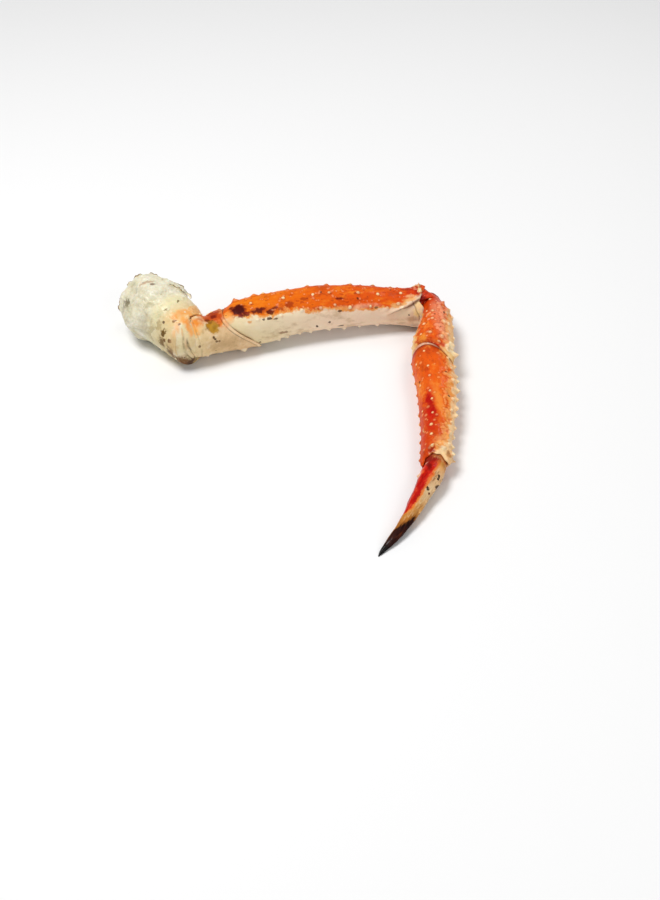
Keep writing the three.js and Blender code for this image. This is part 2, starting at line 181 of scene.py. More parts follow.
# %% The shell object
class Shell:
    def __init__(self, length, heading, rise, roll, head, stations, ridges, spines,
                 start_skew=0.0, end_skew=0.0, start_arch=0.0, end_arch=0.0):
        self.length, self.head = length, head
        self.stations, self.ridges, self.spines = stations, ridges, spines
        self.skew, self.arch = (start_skew, end_skew), (start_arch, end_arch)
        turn, slope = math.radians(heading), math.radians(rise)
        self.axis = np.array([math.cos(slope) * math.cos(turn), math.cos(slope) * math.sin(turn),
                              math.sin(slope)])
        left = np.cross([0, 0, 1], self.axis)
        left /= np.linalg.norm(left)
        above = np.cross(self.axis, left)
        self.dorsal = above * math.cos(math.radians(roll)) + left * math.sin(math.radians(roll))
        self.face = np.cross(self.axis, self.dorsal)

    def place(self, start):
        self.start = np.array(start, float)
        self.end = self.start + self.axis * self.length
        return self

    def place_end(self, end):
        return self.place(np.array(end, float) - self.axis * self.length)

    def surface(self, share, angle, inflate=0.0, scale=1.0, along=0.0):
        """Points in the leg's frame, in millimetres, for arrays of shares and angles."""
        share, angle = np.broadcast_arrays(np.asarray(share, float), np.asarray(angle, float))
        half_height, half_thickness, bow = through_stations(self.stations, share)
        bulge = np.ones_like(share)
        for at, amount, width in self.ridges:
            off = (angle - at + 180) % 360 - 180
            bulge = bulge + amount * np.exp(-((off / width) ** 2))
        turn = np.radians(angle)
        y = np.cos(turn) * (half_height * bulge + inflate) * scale
        z = np.sin(turn) * (half_thickness * bulge + inflate) * scale
        near_start = 1 - smoothstep(share, 0.0, 0.4)
        near_end = smoothstep(share, 0.2, 1.0)
        skew = near_start * self.skew[0] + near_end * self.skew[1]
        arch = near_start * self.arch[0] + near_end * self.arch[1]
        x = share * self.length + skew * y - arch * np.sin(turn) ** 2 * scale + along
        y = y + bow
        return self.start + x[..., None] * self.axis + y[..., None] * self.dorsal + z[..., None] * self.face

    def spot(self, share, angle, inflate=0.0):
        """One point. Shares from -1 to 0 run over the dome at the near end, from its pole to its foot."""
        if share >= 0:
            return self.surface(share, angle, inflate)
        t = (1 + share) * math.pi / 2
        return self.surface(0, angle, inflate, math.sin(t), -(self.head + inflate) * math.cos(t))

    def outward(self, share, angle):
        run = self.spot(share + 0.01, angle) - self.spot(share - 0.01, angle)
        turn = self.spot(share, angle + 2) - self.spot(share, angle - 2)
        normal = np.cross(turn, run)
        return normal / np.linalg.norm(normal)


# %% [markdown]
# ## Joining the chain
#
# Everything hangs from the merus, the longest piece. Towards the body come the ischium, the coxa and
# the shoulder. The other way come the knee, the lower leg and the claw. A few millimetres of soft skin
# are left between the shells.

# %% Place each shell after its neighbour
MERUS_START = (-42.5, 106.4, 22.8)
HIP_SHIFT, KNEE_SHIFT = (9, -1.6, -1.7), (10.8, 5, 1.8)
GAPS = {"merus": 2.6, "ischium": 5.5, "carpus": 3, "propodus": 3.4}

shells = {name: Shell(**shape) for name, shape in SHAPES.items()}
gap = {name: width * shells[name].axis for name, width in GAPS.items()}
shells["merus"].place(MERUS_START)
shells["ischium"].place_end(shells["merus"].start - gap["merus"])
shells["coxa"].place_end(shells["ischium"].start - gap["ischium"] + HIP_SHIFT)
shells["shoulder"].place_end(shells["coxa"].start)
shells["carpus"].place(shells["merus"].end + KNEE_SHIFT)
shells["propodus"].place(shells["carpus"].end + gap["carpus"])
shells["dactyl"].place(shells["propodus"].end + gap["propodus"])
for name, shell in shells.items():
    print(f"{name:9s} from {shell.start.round(1)} to {shell.end.round(1)} mm")

# %% [markdown]
# ## Spines
#
# King crab shell is armed with rows of short blunt spines. They are scattered with a small seeded
# random generator, so that every run puts each spine in the same place. Within its row a spine wanders
# a little along the shell and round it, and it leans a little towards the claw, as real ones do. A few
# blunt knobs near the joints are too big and too regular to leave to chance, so they are listed one by
# one.

# %% Random numbers that repeat on every run
ALL_BITS = 0xFFFFFFFF
STATE_STEP = 0x6D2B79F5


def seeded_draws(seed):
    """Endless random numbers from 0 to 1, the same ones on every run."""
    state = seed
    while True:
        state = (state + STATE_STEP) & ALL_BITS
        mixed = ((state ^ (state >> 15)) * (1 | state)) & ALL_BITS
        mixed = ((mixed + ((mixed ^ (mixed >> 7)) * (61 | mixed))) & ALL_BITS) ^ mixed
        yield (mixed ^ (mixed >> 14)) / (ALL_BITS + 1)


draw = seeded_draws(7)

# %% Scatter the spines
WANDER_ALONG, WANDER_ROUND = 0.4, 9
SMALLEST, SIZE_RANGE = 0.8, 0.4
LEAN = 0.35


def scatter_spines(shell, draw):
    """(root, outward way, leaning way, height, root radius) of every spine of a shell."""
    found = []
    for angle, first, last, count, height, radius in shell.spines:
        spacing = (last - first) / (count - 1) if count > 1 else 0.0
        wander = 1 if count > 1 else 0
        for i in range(count):
            share = first + spacing * (i + wander * WANDER_ALONG * (next(draw) - 0.5))
            size = SMALLEST + SIZE_RANGE * next(draw)
            where = angle + wander * WANDER_ROUND * (next(draw) - 0.5)
            share = min(share, 1 - radius * size / shell.length)
            outward = shell.outward(share, where)
            lean = outward + LEAN * shell.axis
            found.append((shell.surface(share, where), outward, lean / np.linalg.norm(lean),
                          height * size, radius * size, where))
    return found


def knob(key, share, where, height, radius):
    """One blunt knob at a chosen place."""
    outward = shells[key].outward(share, where)
    return shells[key].surface(share, where), outward, outward, height, radius, where


spines = {name: scatter_spines(shell, draw) for name, shell in shells.items()}

# %% Knobs, listed one by one: (share, angle, height, root radius)
KNOBS = {
    "merus": [(0.975, 6, 2.2, 2.8), (0.978, 34, 1.7, 2.6), (0.94, 12, 1.4, 2.0), (0.985, 44, 2.0, 2.8),
              (0.887, 86, 1.2, 2.0)],
    "carpus": [(0.585, 50, 1.2, 2.8), (0.849, 54, 1.1, 2.6), (0.955, 60, 1.1, 2.2), (0.84, 20, 2.0, 4.2),
               (0.93, 8, 2.2, 4.0), (0.95, 30, 1.6, 3.4)]}
for name, rows in KNOBS.items():
    spines[name] += [knob(name, *row) for row in rows]
print("spines:", {name: len(found) for name, found in spines.items()})

# %% [markdown]
# ## Irregular surfaces
#
# Nothing on an animal is perfectly smooth. Blender has noise textures for its Displace modifier, but a
# noise function on the points themselves can be aimed: lumps here, wrinkles there, none on the rims.
# This one hashes the corners of a grid of cells to random values and blends between them.

# %% Noise for points
SEED_SHIFT = 31.7
HASH_X, HASH_Y, HASH_Z, HASH_MIX = 374761393, 668265263, 1440662683, 1274126177


def noise(points, size, seed=0):
    """Smooth random values from -1 to 1, for points in millimetres, with lumps about size wide."""
    p = points / size + SEED_SHIFT * seed
    cell = np.floor(p).astype(np.int64)
    f = p - cell
    f = f * f * f * (f * (f * 6 - 15) + 10)
    total = np.zeros(points.shape[:-1])
    for corner in np.ndindex(2, 2, 2):
        c = cell + np.array(corner)
        h = (c[..., 0] * HASH_X + c[..., 1] * HASH_Y + c[..., 2] * HASH_Z) & ALL_BITS
        h = ((h ^ (h >> 13)) * HASH_MIX) & ALL_BITS
        value = ((h ^ (h >> 16)) & 0xFFFF) / 32767.5 - 1
        weight = np.prod(np.where(np.array(corner) == 1, f, 1 - f), axis=-1)
        total += weight * value
    return total


def lumps(points, size, seed, layers=3):
    """Noise in several sizes, each half as large and half as strong as the one before."""
    return sum(noise(points, size / 2 ** k, seed + k) / 2 ** k for k in range(layers))


def creases(points, size, seed):
    """Narrow lines that wander like wrinkles: 1 on a line and 0 away from it."""
    return np.clip(1 - 4.5 * np.abs(noise(points, size, seed)), 0, 1) ** 1.5


along_merus = np.linspace(shells["merus"].start, shells["merus"].end, 6)
print("noise along the merus:", noise(along_merus, 30).round(2))

# %% [markdown]
# ## From rows of points to a mesh
#
# A shell's skin is a grid. Its rows go from the domed near end, along the body, round the thick lip of
# the open far end and down into the socket that holds the next piece. Such a grid could be made with a
# Screw or a Skin modifier, but here every row has to follow the shell object above, so the points are
# worked out first and handed to the mesh in one go.
#
# Values that the paint needs later, such as how near a point is to a spine's tip, are stored on the
# points as attributes, which a material reads with an Attribute node.

# %% Rows of one shell
SOCKET_BOWL = 3.0


def shell_rows(shell, spacing, dome_rows, lip, depth):
    """An array with one row per ring: share of the length, inflate, scale and shift along the axis."""
    rows = [(0, 0, math.sin(t), -shell.head * math.cos(t))
            for t in np.linspace(0, math.pi / 2, dome_rows + 1)[1:-1]]
    rows += [(s, 0, 1, 0) for s in np.linspace(0, 1, int(shell.length / spacing) + 1)]
    if lip:
        rows += [(1, -lip * (1 - math.cos(t)), 1, lip * math.sin(t)) for t in np.linspace(0, math.pi, 8)[1:]]
        rows += [(1, -2 * lip, 1, -depth * k) for k in (0.2, 0.45, 0.7, 1)]
        rows += [(1, -2 * lip, k, -depth - SOCKET_BOWL * (1 - k * k)) for k in (0.85, 0.6, 0.3)]
    return np.array(rows, float)


def grid_normals(points):
    run = np.gradient(points, axis=0)
    turn = np.roll(points, -1, axis=1) - np.roll(points, 1, axis=1)
    normal = np.cross(turn, run)
    return normal / (np.linalg.norm(normal, axis=-1, keepdims=True) + 1e-9)


print("rows of the merus:", len(shell_rows(shells["merus"], 0.66, 12, 0.9, 9.0)))

# %% Turn a grid into a Blender mesh
SOFT_EDGE = 0.5


def press_flat(points):
    """The table presses on whatever would reach below it, with a soft edge to the flat."""
    pressed = points.copy()
    low = pressed[..., 2] < SOFT_EDGE
    pressed[..., 2][low] = SOFT_EDGE * np.exp((pressed[..., 2][low] - SOFT_EDGE) / SOFT_EDGE)
    return pressed


def mesh_object(name, corners, faces, marks):
    """A smooth mesh of points in millimetres, with its marks as point attributes."""
    mesh = bpy.data.meshes.new(name)
    mesh.from_pydata((corners * METRES).tolist(), [], faces)
    for title, values in marks.items():
        stored = mesh.attributes.new(title, "FLOAT", "POINT")
        stored.data.foreach_set("value", values.astype(np.float32))
    mesh.shade_smooth()
    made = bpy.data.objects.new(name, mesh)
    bpy.context.scene.collection.objects.link(made)
    return made


def grid_to_object(name, points, first_tip, last_tip, marks):
    """A closed tube: rings of points, with one point at each end."""
    rings, sides = points.shape[:2]
    corners = np.concatenate([points.reshape(-1, 3), [first_tip], [last_tip]])
    ring, side = np.meshgrid(np.arange(rings - 1), np.arange(sides), indexing="ij")
    a, b = ring * sides + side, ring * sides + (side + 1) % sides
    walls = np.stack([a, b, b + sides, a + sides], axis=-1).reshape(-1, 4)
    s, n = np.arange(sides), (np.arange(sides) + 1) % sides
    tip, tail, last = rings * sides, rings * sides + 1, (rings - 1) * sides
    near = np.stack([np.full(sides, tip), n, s], axis=-1)
    far = np.stack([np.full(sides, tail), last + s, last + n], axis=-1)
    marks = {title: np.concatenate([values.reshape(-1), [values[0].mean(), values[-1].mean()]])
             for title, values in marks.items()}
    return mesh_object(name, corners, walls.tolist() + near.tolist() + far.tolist(), marks)


# %% [markdown]
# ## Raising spines and pimples out of the skin
#
# A cone could be set on the shell as a separate mesh, but it would meet the shell in a hard crease.
# Real spines grow out of it, on a low swelling. So the grid's own points are lifted. They are first
# drawn in towards the spine's middle, so that there are enough of them at its tip.

# %% Lift the points
def raise_cones(points, normals, cones, spread=1.9, swelling=0.28):
    """Lifts points around each cone, and returns how far each one is up a tip and up a swelling."""
    shape = points.shape[:2]
    flat_points, flat_normals = points.reshape(-1, 3), normals.reshape(-1, 3)
    tip, base = np.zeros(len(flat_points)), np.zeros(len(flat_points))
    for root, outward, lean, height, radius, _ in cones:
        wide = spread * radius
        near = np.nonzero(np.abs(flat_points - root).max(axis=1) < wide)[0]
        offset = flat_points[near] - root
        up = offset @ outward
        across = offset - up[:, None] * outward
        away = np.linalg.norm(across, axis=1) / wide
        hit = (away < 1) & (flat_normals[near] @ outward > 0.1)
        near, across, away = near[hit], across[hit], away[hit]
        drawn = 0.45 + 0.55 * away
        reach = away * drawn * spread
        cone = np.clip(1.1 - np.sqrt(reach ** 2 + 0.02), 0, 1)
        swell = (1 - (away * drawn) ** 2) ** 2
        lift = height * ((1 - swelling) * cone + swelling * swell)
        flat_points[near] += across * (drawn - 1)[:, None] + lean * lift[:, None]
        tip[near] = np.maximum(tip[near], cone)
        base[near] = np.maximum(base[near], swell * (1 - away ** 4))
    return tip.reshape(shape), base.reshape(shape)


def pimple_cones(shell, seed, count, angle, spread, height, radius, first=0.05, last=0.95):
    """Small round bumps, strewn over a band of the shell."""
    pick = np.random.default_rng(seed)
    cones = []
    for _ in range(count):
        share, where = pick.uniform(first, last), angle + spread * pick.uniform(-1, 1)
        size = pick.uniform(0.6, 1.3)
        out = shell.outward(share, where)
        cones.append((shell.surface(share, where), out, out, height * size, radius * size, where))
    return cones


# %% [markdown]
# ## One recipe for all the shells
#
# Every shell goes through the same steps: lay out the grid, push it in and out with the piece's own
# relief, raise its pimples and spines, press it on the table, and keep the marks for its paint. The
# inside of the open end is pushed the same way as the outside, so that the wall keeps its thickness.

# %% The recipe
OUTER_SIDE = 15


def tone_nowhere(share, angle):
    """Nothing is orange: every point lies 20 mm inside the cream."""
    return np.full_like(share, -20.0)


def build_shell(name, key, spacing, sides, lip, relief, depth=7.0, dome_rows=12, pimples=(),
                tone=tone_nowhere, tail=None, settle=None, longer=None, outer_growth=0.0):
    """At the open end the wall is twice as thick as lip, round a socket of the given depth. The functions
    longer, settle and tail shift points along the axis, lay them elsewhere and add rings at the end.
    Spines on the outer side of the bend are larger by up to the share outer_growth."""
    shell = shells[key]
    rows = shell_rows(shell, spacing, dome_rows, lip, depth)
    angles = np.arange(sides) * 360.0 / sides
    share, angle = rows[:, :1] + 0 * angles, 0 * rows[:, :1] + angles
    along = rows[:, [3]] + (longer(share, angle) if longer else 0)
    points = shell.surface(share, angle, rows[:, [1]], rows[:, [2]], along)
    if settle:
        points = settle(share, angle, points)
    if tail:
        more = tail(angles)
        points = np.concatenate([points, more])
        share = np.concatenate([share, 1 + 0.01 * np.arange(1, len(more) + 1)[:, None] + 0 * angles])
        angle = np.concatenate([angle, 0 * more[..., 0] + angles])
    turned = (angle + 180) % 360 - 180
    normals = grid_normals(points)
    if lip:
        rim_row = dome_rows - 1 + int(shell.length / spacing)
        normals[rim_row + 1:] = normals[rim_row]
    loose = (1 - smoothstep(share, 0.97, 1.0)) * 0.8 + 0.2
    own_relief, marks = relief(share, turned, points)
    push = 0.35 * lumps(points, 11, 2) * loose + own_relief
    points = points + normals * push[..., None]
    raised = grid_normals(points)
    _, grain = raise_cones(points, raised, pimples, spread=1.5, swelling=0.8)
    grown = []
    for root, outward, lean, height, radius, where in spines[key]:
        more = 1 + outer_growth * max(0, math.cos(math.radians(where - OUTER_SIDE))) ** 3
        grown.append((root, outward, lean, height * more, radius * more ** 0.7, where))
    tip, swelling = raise_cones(points, raised, grown)
    marks.update(along=share, round=turned / 180, tone=tone(share, turned), tip=tip,
                 swelling=swelling, grain=grain)
    points = press_flat(points)
    first_tip = press_flat(points[0].mean(axis=0) - shell.head * 0.02 * shell.axis)
    last_tip = press_flat(points[-1].mean(axis=0))
    made = grid_to_object(name, points, first_tip, last_tip, marks)
    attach(made, "root")
    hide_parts(key)
    print(f"{name}: {len(made.data.polygons)} faces, {len(spines[key])} spines, {len(pimples)} pimples")
    return made


# %% [markdown]
# ## The shoulder
#
# Where the leg was pulled from the body, the meat is wrapped in thin white skin. It is soft and lumpy,
# with pleats that run towards the body, and here and there one layer of film ends on top of another.
# The layers are made by raising whole patches of the surface by a third of a millimetre, so that they
# catch the light as real film does. A small round scar with a raised rim lies near the coxa. At its far
# end the skin runs out thinly over the hard coxa, with a ragged edge, so this piece gets a tail of rings
# that lie on the coxa's surface.

# %% Relief of the shoulder
def band(distance, middle, width):
    """A soft bump, or a groove if it is taken away, around one distance."""
    return np.exp(-(((distance - middle) / width) ** 2))


def shoulder_relief(share, turned, points):
    fixed = 1 - 0.75 * smoothstep(share, 0.7, 1.03)
    swell = 1.25 * lumps(points, 16, 11, 2) + 0.6 * lumps(points, 6.5, 15, 2)
    along = points @ shells["shoulder"].axis
    drawn_out = points - 0.72 * along[..., None] * shells["shoulder"].axis
    pleats = (0.55 * lumps(drawn_out, 5.5, 21, 2) + 0.55 * creases(points, 11, 51)
              - 0.35 * creases(points, 8, 53))
    layer = smoothstep(noise(points, 15, 31) + 0.4 * noise(points, 4, 33), 0.08, 0.2)
    second = smoothstep(noise(points, 20, 41) + 0.3 * noise(points, 5, 43), 0.14, 0.26)
    middle = shells["shoulder"].surface(0.83, 70.0)
    far = np.linalg.norm(points - middle, axis=-1) + 0.8 * noise(points, 6, 47)
    rim = band(far, 5.4, 1.1)
    height = (swell + pleats + 0.3 * layer + 0.35 * second + 0.7 * rim - 0.3 * band(far, 0, 3.4)) * fixed
    edges = 4 * layer * (1 - layer) + 4 * second * (1 - second)
    # The hollows between lumps and pleats go into the crease mark, which paints shade into them.
    hollow = np.clip(-0.9 * (pleats + 0.5 * swell), 0, 1)
    return height, {"film": np.clip(edges, 0, 1), "crease": hollow}


def settle_on_coxa(share, angle, points):
    """Towards its far end the shoulder sinks until it lies just above the coxa."""
    onto = shells["coxa"].surface((share - 1) * shells["shoulder"].length / shells["coxa"].length, angle, 0.6)
    settled = smoothstep(share, 0.55, 1.0)[..., None]
    return points * (1 - settled) + onto * settled


def skin_over_coxa(angles):
    """Rings that lie on the coxa, out to a ragged edge, and the last of them tucked in under it."""
    base = shells["coxa"]
    rim = base.surface(0.0, angles)
    reach = 0.27 + 0.08 * lumps(rim, 7, 5) + 0.05 * noise(rim, 2.6, 6)
    rings = [base.surface(reach * k, angles, 0.55 - 0.75 * k ** 2) for k in np.linspace(0.05, 1, 18)]
    return np.array(rings + [base.surface(reach * 0.98, angles, -1.2)])


shoulder = build_shell("shoulder_meat", "shoulder", 0.62, 300, lip=0, dome_rows=44,
                       relief=shoulder_relief, tail=skin_over_coxa, settle=settle_on_coxa)

# %% [markdown]
# ## The coxa and the ischium
#
# The coxa is a short wide ring of shell, and the ischium swivels in it. The ischium is really two
# shells grown together, so a thin seam crosses it near its start. At its far end the shell thickens
# into a smooth pale collar, and just before that collar there is a narrow groove.

# %% Relief of the hip
def coxa_relief(share, turned, points):
    return 0.25 * lumps(points, 5, 61, 2) * (1 - smoothstep(share, 0.85, 1.0)), {"crease": 0 * share}


def ischium_relief(share, turned, points):
    to_end = (1 - share) * shells["ischium"].length
    from_start = share * shells["ischium"].length
    seam = np.interp(turned, (-180, -90, 20, 80, 136, 180), (8.5, 6.5, 4.0, 4.6, 7.8, 8.5))
    line = band(from_start, seam, 0.45)
    step = 0.35 * smoothstep(from_start, seam - 0.3, seam + 0.5)
    below = 0.1 + 0.9 * smoothstep(np.abs(turned - 5), 42, 66)
    groove = band(to_end, 3.1, 0.45) * below
    collar = smoothstep(2.9 - to_end, 0, 0.7) * (1 - 0.5 * smoothstep(1.1 - to_end, 0, 1.1)) * below
    neck = smoothstep(share, 0.6, 0.95) * band(turned, 8, 42)
    height = 0.6 * collar + step - 0.35 * groove - 0.3 * line - 1.9 * neck
    return height, {"crease": np.clip(0.4 * line + 0.8 * groove, 0, 1), "pale": 0.7 * collar}


# %% [markdown]
# The tone of a point says how many millimetres it lies inside the orange, and is negative in the cream.
# It comes from the two angles between which a shell is orange, which may change along the shell, and
# from the shell's mean radius, which turns degrees into millimetres.

# %% Which parts of the hip are orange
def to_millimetres(degrees, radius):
    return np.radians(degrees) * radius


def ischium_tone(share, turned):
    upper = np.interp(share, (0, 0.2, 0.4, 0.6, 0.8, 0.95, 1), (12, 25, 45, 60, 74, 76, 74))
    return to_millimetres(np.minimum(upper - turned, turned + 75), 17)


def coxa_tone(share, turned):
    upper = np.interp(share, (0, 0.5, 0.8, 1), (-60, -20, 22, 40))
    return to_millimetres(np.minimum(upper - turned, turned + 50), 24)


coxa = build_shell("coxa_shell", "coxa", 0.6, 250, lip=0.8, depth=6.0, dome_rows=8, relief=coxa_relief,
                   tone=coxa_tone, pimples=pimple_cones(shells["coxa"], 3, 26, 60, 120, 0.35, 1.2))
ischium = build_shell("ischium_shell", "ischium", 0.6, 200, lip=0.9, depth=6.0, relief=ischium_relief,
                      tone=ischium_tone, pimples=pimple_cones(shells["ischium"], 4, 16, -60, 60, 0.25, 1.3))

# %% [markdown]
# ## The merus
#
# The merus is the big piece of meat that everyone wants. Its upper side is orange and its flat face is
# cream, with a wavy border between them that carries a row of spines. Near the knee a smooth hollow
# facet is pressed into the face, where the lower leg folds back against it. The last millimetres of the
# face are a separate yellowish rim behind a fine dark line.

# %% Colour border of the merus
MERUS_BORDER = [(0, 70), (0.04, 74), (0.09, 82), (0.16, 94), (0.2, 92), (0.27, 90), (0.33, 96), (0.42, 102),
                (0.65, 104), (0.755, 103), (0.83, 98), (0.87, 93), (0.92, 80), (0.97, 64), (1, 56)]


def merus_tone(share, turned):
    upper = np.interp(share, *zip(*MERUS_BORDER))
    return to_millimetres(np.minimum(upper - turned, turned + 106), 17.5)


# %% Relief of the merus
def facet_border(share):
    return np.interp(share, (0.8, 0.824, 0.9, 0.975, 1), (136, 124, 102, 80, 72))


def merus_relief(share, turned, points):
    to_end = (1 - share) * shells["merus"].length
    past = turned - facet_border(share)
    inside = smoothstep(past, 0, 4) * (1 - smoothstep(turned, 146, 166)) * smoothstep(share, 0.81, 0.86)
    crest = band(past, -4.5, 4.5) * smoothstep(share, 0.79, 0.86)
    on_face = smoothstep(turned, 40, 60) * (1 - smoothstep(turned, 165, 175))
    lip = 0.5 * band(to_end, 1.0, 1.0) - 0.4 * band(to_end, 4.0, 0.9) * (1 - on_face)
    keel = 0.55 * band(turned, 153, 5)
    neck = (1 - smoothstep(share, 0.0, 0.06)) * band(turned, 8, 42)
    height = lip - 2.2 * inside + 0.9 * crest + keel - 2.1 * neck
    # The line under the crest is only painted: through the crease mark it becomes a dark painted shadow line.
    fold = band(past, 1.8, 2.8) * smoothstep(share, 0.81, 0.86) * (1 - smoothstep(turned, 150, 160))
    rim_edge = np.interp(turned, (80, 98, 108, 120, 134, 150), (0.962, 0.962, 0.964, 0.97, 0.979, 0.986))
    past_edge = (share - rim_edge) * shells["merus"].length
    on_rim = smoothstep(turned, 72, 84) * (1 - smoothstep(turned, 140, 152))
    rim = smoothstep(past_edge, 0.2, 1.2) * on_rim
    line = band(past_edge, -0.1, 0.55) * on_rim
    height = height + 0.5 * rim - 0.5 * line
    crease = 0.95 * fold + 0.7 * line + 0.5 * band(to_end, 4.0, 0.8) * (1 - on_face)
    pale = 0.9 * keel * smoothstep(share, 0.7, 0.8)
    return height, {"crease": np.clip(crease, 0, 1), "pale": np.clip(pale, 0, 1)}


def merus_longer(share, angle):
    """The rim of the face bends over towards the knee, further than the rim of the back."""
    on_face = smoothstep(angle, 72, 102) * (1 - smoothstep(angle, 120, 165))
    return 5.5 * on_face * smoothstep(share, 0.8, 1.0)


# %% Build the merus
merus_pimples = ([knob("merus", 0.063, 14, 2.4, 3.4), knob("merus", 0.145, 12, 2.2, 3.4)]
                 + pimple_cones(shells["merus"], 25, 12, 8, 45, 0.9, 1.5, 0.94, 0.985)
                 + pimple_cones(shells["merus"], 5, 150, 40, 62, 0.42, 1.2)
                 + pimple_cones(shells["merus"], 6, 60, -55, 50, 0.4, 1.2)
                 + pimple_cones(shells["merus"], 7, 26, 150, 30, 0.3, 1.0))
merus = build_shell("merus_shell", "merus", 0.66, 180, lip=0.9, depth=9.0, relief=merus_relief,
                    tone=merus_tone, pimples=merus_pimples, longer=merus_longer)

# %% [markdown]
# ## The carpus and the propodus
#
# Below the knee the shell is orange almost all round, with a cream edge along the outside of the bend
# where the spines are largest. Between the spines the shell is full of small raised grains. The rims at
# the joints are a little broken.

# %% Colour borders of the lower leg
def carpus_tone(share, turned):
    upper = np.interp(share, (0, 0.1, 0.3, 0.5, 0.7, 0.9, 1), (-20, 6, 22, 32, 36, 44, 50))
    corner = np.interp(share, (0, 0.15, 0.4, 0.65, 0.85, 0.93, 1), (176, 156, 146, 142, 140, 142, 140))
    outside = np.maximum(turned - upper, -62 - turned)
    return to_millimetres(np.minimum(outside, corner - turned), 15)


def propodus_tone(share, turned):
    upper = np.interp(share, (0, 0.05, 0.18, 0.5, 0.75, 0.87, 0.93, 1), (46, 34, 30, 37, 37, 42, 64, 86))
    return to_millimetres(np.maximum(turned - upper, -50 - turned), 13)


# %% Relief of the lower leg
def joint_relief(key, closing=0.0):
    """Relief for a shell with a broken rim at its far end, closed in by some millimetres."""
    def relief(share, turned, points):
        to_end = (1 - share) * shells[key].length
        from_start = share * shells[key].length
        broken = np.clip(0.5 + 1.2 * noise(points, 5, 91), 0, 1)
        height = (0.3 + 0.5 * broken) * band(to_end, 1.3, 1.3) - 0.3 * band(to_end, 4.0, 0.9) * broken
        height = height - closing * smoothstep(4.0 - to_end, 0, 4.0)
        crease = 0.4 * band(to_end, 4.0, 0.8) * broken + 0.8 * band(from_start, 0, 1.2)
        return height, {"crease": np.clip(crease, 0, 1)}
    return relief


def carpus_longer(share, angle):
    """The rim comes down over the start of the next shell, so that little skin shows between them."""
    return 1.4 * smoothstep(share, 0.9, 1.0)


def propodus_longer(share, angle):
    """The rim by the claw has two lobes, and its edge is uneven."""
    turned = (angle + 180) % 360 - 180
    lobes = 3.2 * band(turned, 14, 26) + 2.8 * band(turned, 162, 20)
    uneven = 0.7 * np.cos(np.radians(9 * angle + 40))
    return (lobes + uneven + 0.8) * smoothstep(share, 0.9, 1.0)


# %% Build the carpus and the propodus
carpus_pimples = (pimple_cones(shells["carpus"], 8, 34, 80, 60, 0.45, 1.9)
                  + pimple_cones(shells["carpus"], 14, 34, 48, 22, 0.8, 2.7, 0.2, 0.92)
                  + pimple_cones(shells["carpus"], 22, 12, 148, 16, 0.9, 1.8, 0.55, 0.96)
                  + pimple_cones(shells["carpus"], 9, 26, -90, 70, 0.4, 1.6))
carpus = build_shell("carpus_shell", "carpus", 0.6, 165, lip=0.9, depth=7.0, relief=joint_relief("carpus"),
                     tone=carpus_tone, pimples=carpus_pimples, longer=carpus_longer, outer_growth=0.25)
propodus_pimples = (pimple_cones(shells["propodus"], 10, 44, 80, 65, 0.4, 1.7)
                    + pimple_cones(shells["propodus"], 15, 36, 36, 20, 0.7, 2.3, 0.08, 0.92)
                    + pimple_cones(shells["propodus"], 21, 16, 50, 120, 1.4, 2.0, 0.95, 0.975)
                    + pimple_cones(shells["propodus"], 12, 36, -90, 70, 0.4, 1.4))
propodus = build_shell("propodus_shell", "propodus", 0.62, 150, lip=0.8, depth=6.0,
                       relief=joint_relief("propodus", closing=1.7), tone=propodus_tone,
                       pimples=propodus_pimples, longer=propodus_longer, outer_growth=0.25)

# %% [markdown]
# ## The claw
#
# The dactyl is a curved horn that ends in a hard dark point. It has long shallow furrows and only a few
# small spines. It has no open end, so its grid simply runs out into the point.

# %% Build the dactyl
def dactyl_relief(share, turned, points):
    furrows = 0.3 * np.cos(np.radians(turned * 6 + 14 * share)) * smoothstep(share, 0.03, 0.2)
    notches = 0.3 * lumps(points, 4.5, 81, 2) * band(turned, 30, 45) * (1 - smoothstep(share, 0.45, 0.65))
    sharper = -0.45 * smoothstep(share, 0.86, 1.0)
    height = furrows * (1 - smoothstep(share, 0.72, 0.95)) + notches + sharper
    return height, {"crease": 0.5 * band(share, 0, 0.02)}


def dactyl_tone(share, turned):
    """The red goes on under the claw, past 180 degrees, and ends in a long slant."""
    around = turned % 360
    upper = np.interp(share, (0, 0.1, 0.3, 0.5, 0.56, 0.61, 0.67, 0.76), (56, 60, 64, 76, 96, 150, 186, 236))
    lower = np.interp(share, (0, 0.2, 0.6), (205, 222, 232))
    return to_millimetres(np.minimum(around - upper, lower - around), 8)


dactyl = build_shell("dactyl_claw", "dactyl", 0.6, 110, lip=0.0, relief=dactyl_relief, tone=dactyl_tone,
                     pimples=pimple_cones(shells["dactyl"], 13, 30, 20, 70, 0.25, 0.9, 0.05, 0.5))

# %% [markdown]
# ## Joint skins
#
# The joints are closed by thin skin. Each skin is a grid stretched from one shell's far edge to the next
# shell's start, swollen a little in between, with narrow grooves where it folds. Its two ends are
# tucked in under the shells, and the knee's skin passes below the hollow facet. At the hip the skin is
# as hard and thick as shell and lies flush with the coxa's edge, so there it starts outside the edge
# and hides it.

# %% Build the skins
SKIN_SIDES, SKIN_ROWS = 170, 44
TUCK_ALONG, TUCK_DEPTH = 0.02, 1.4


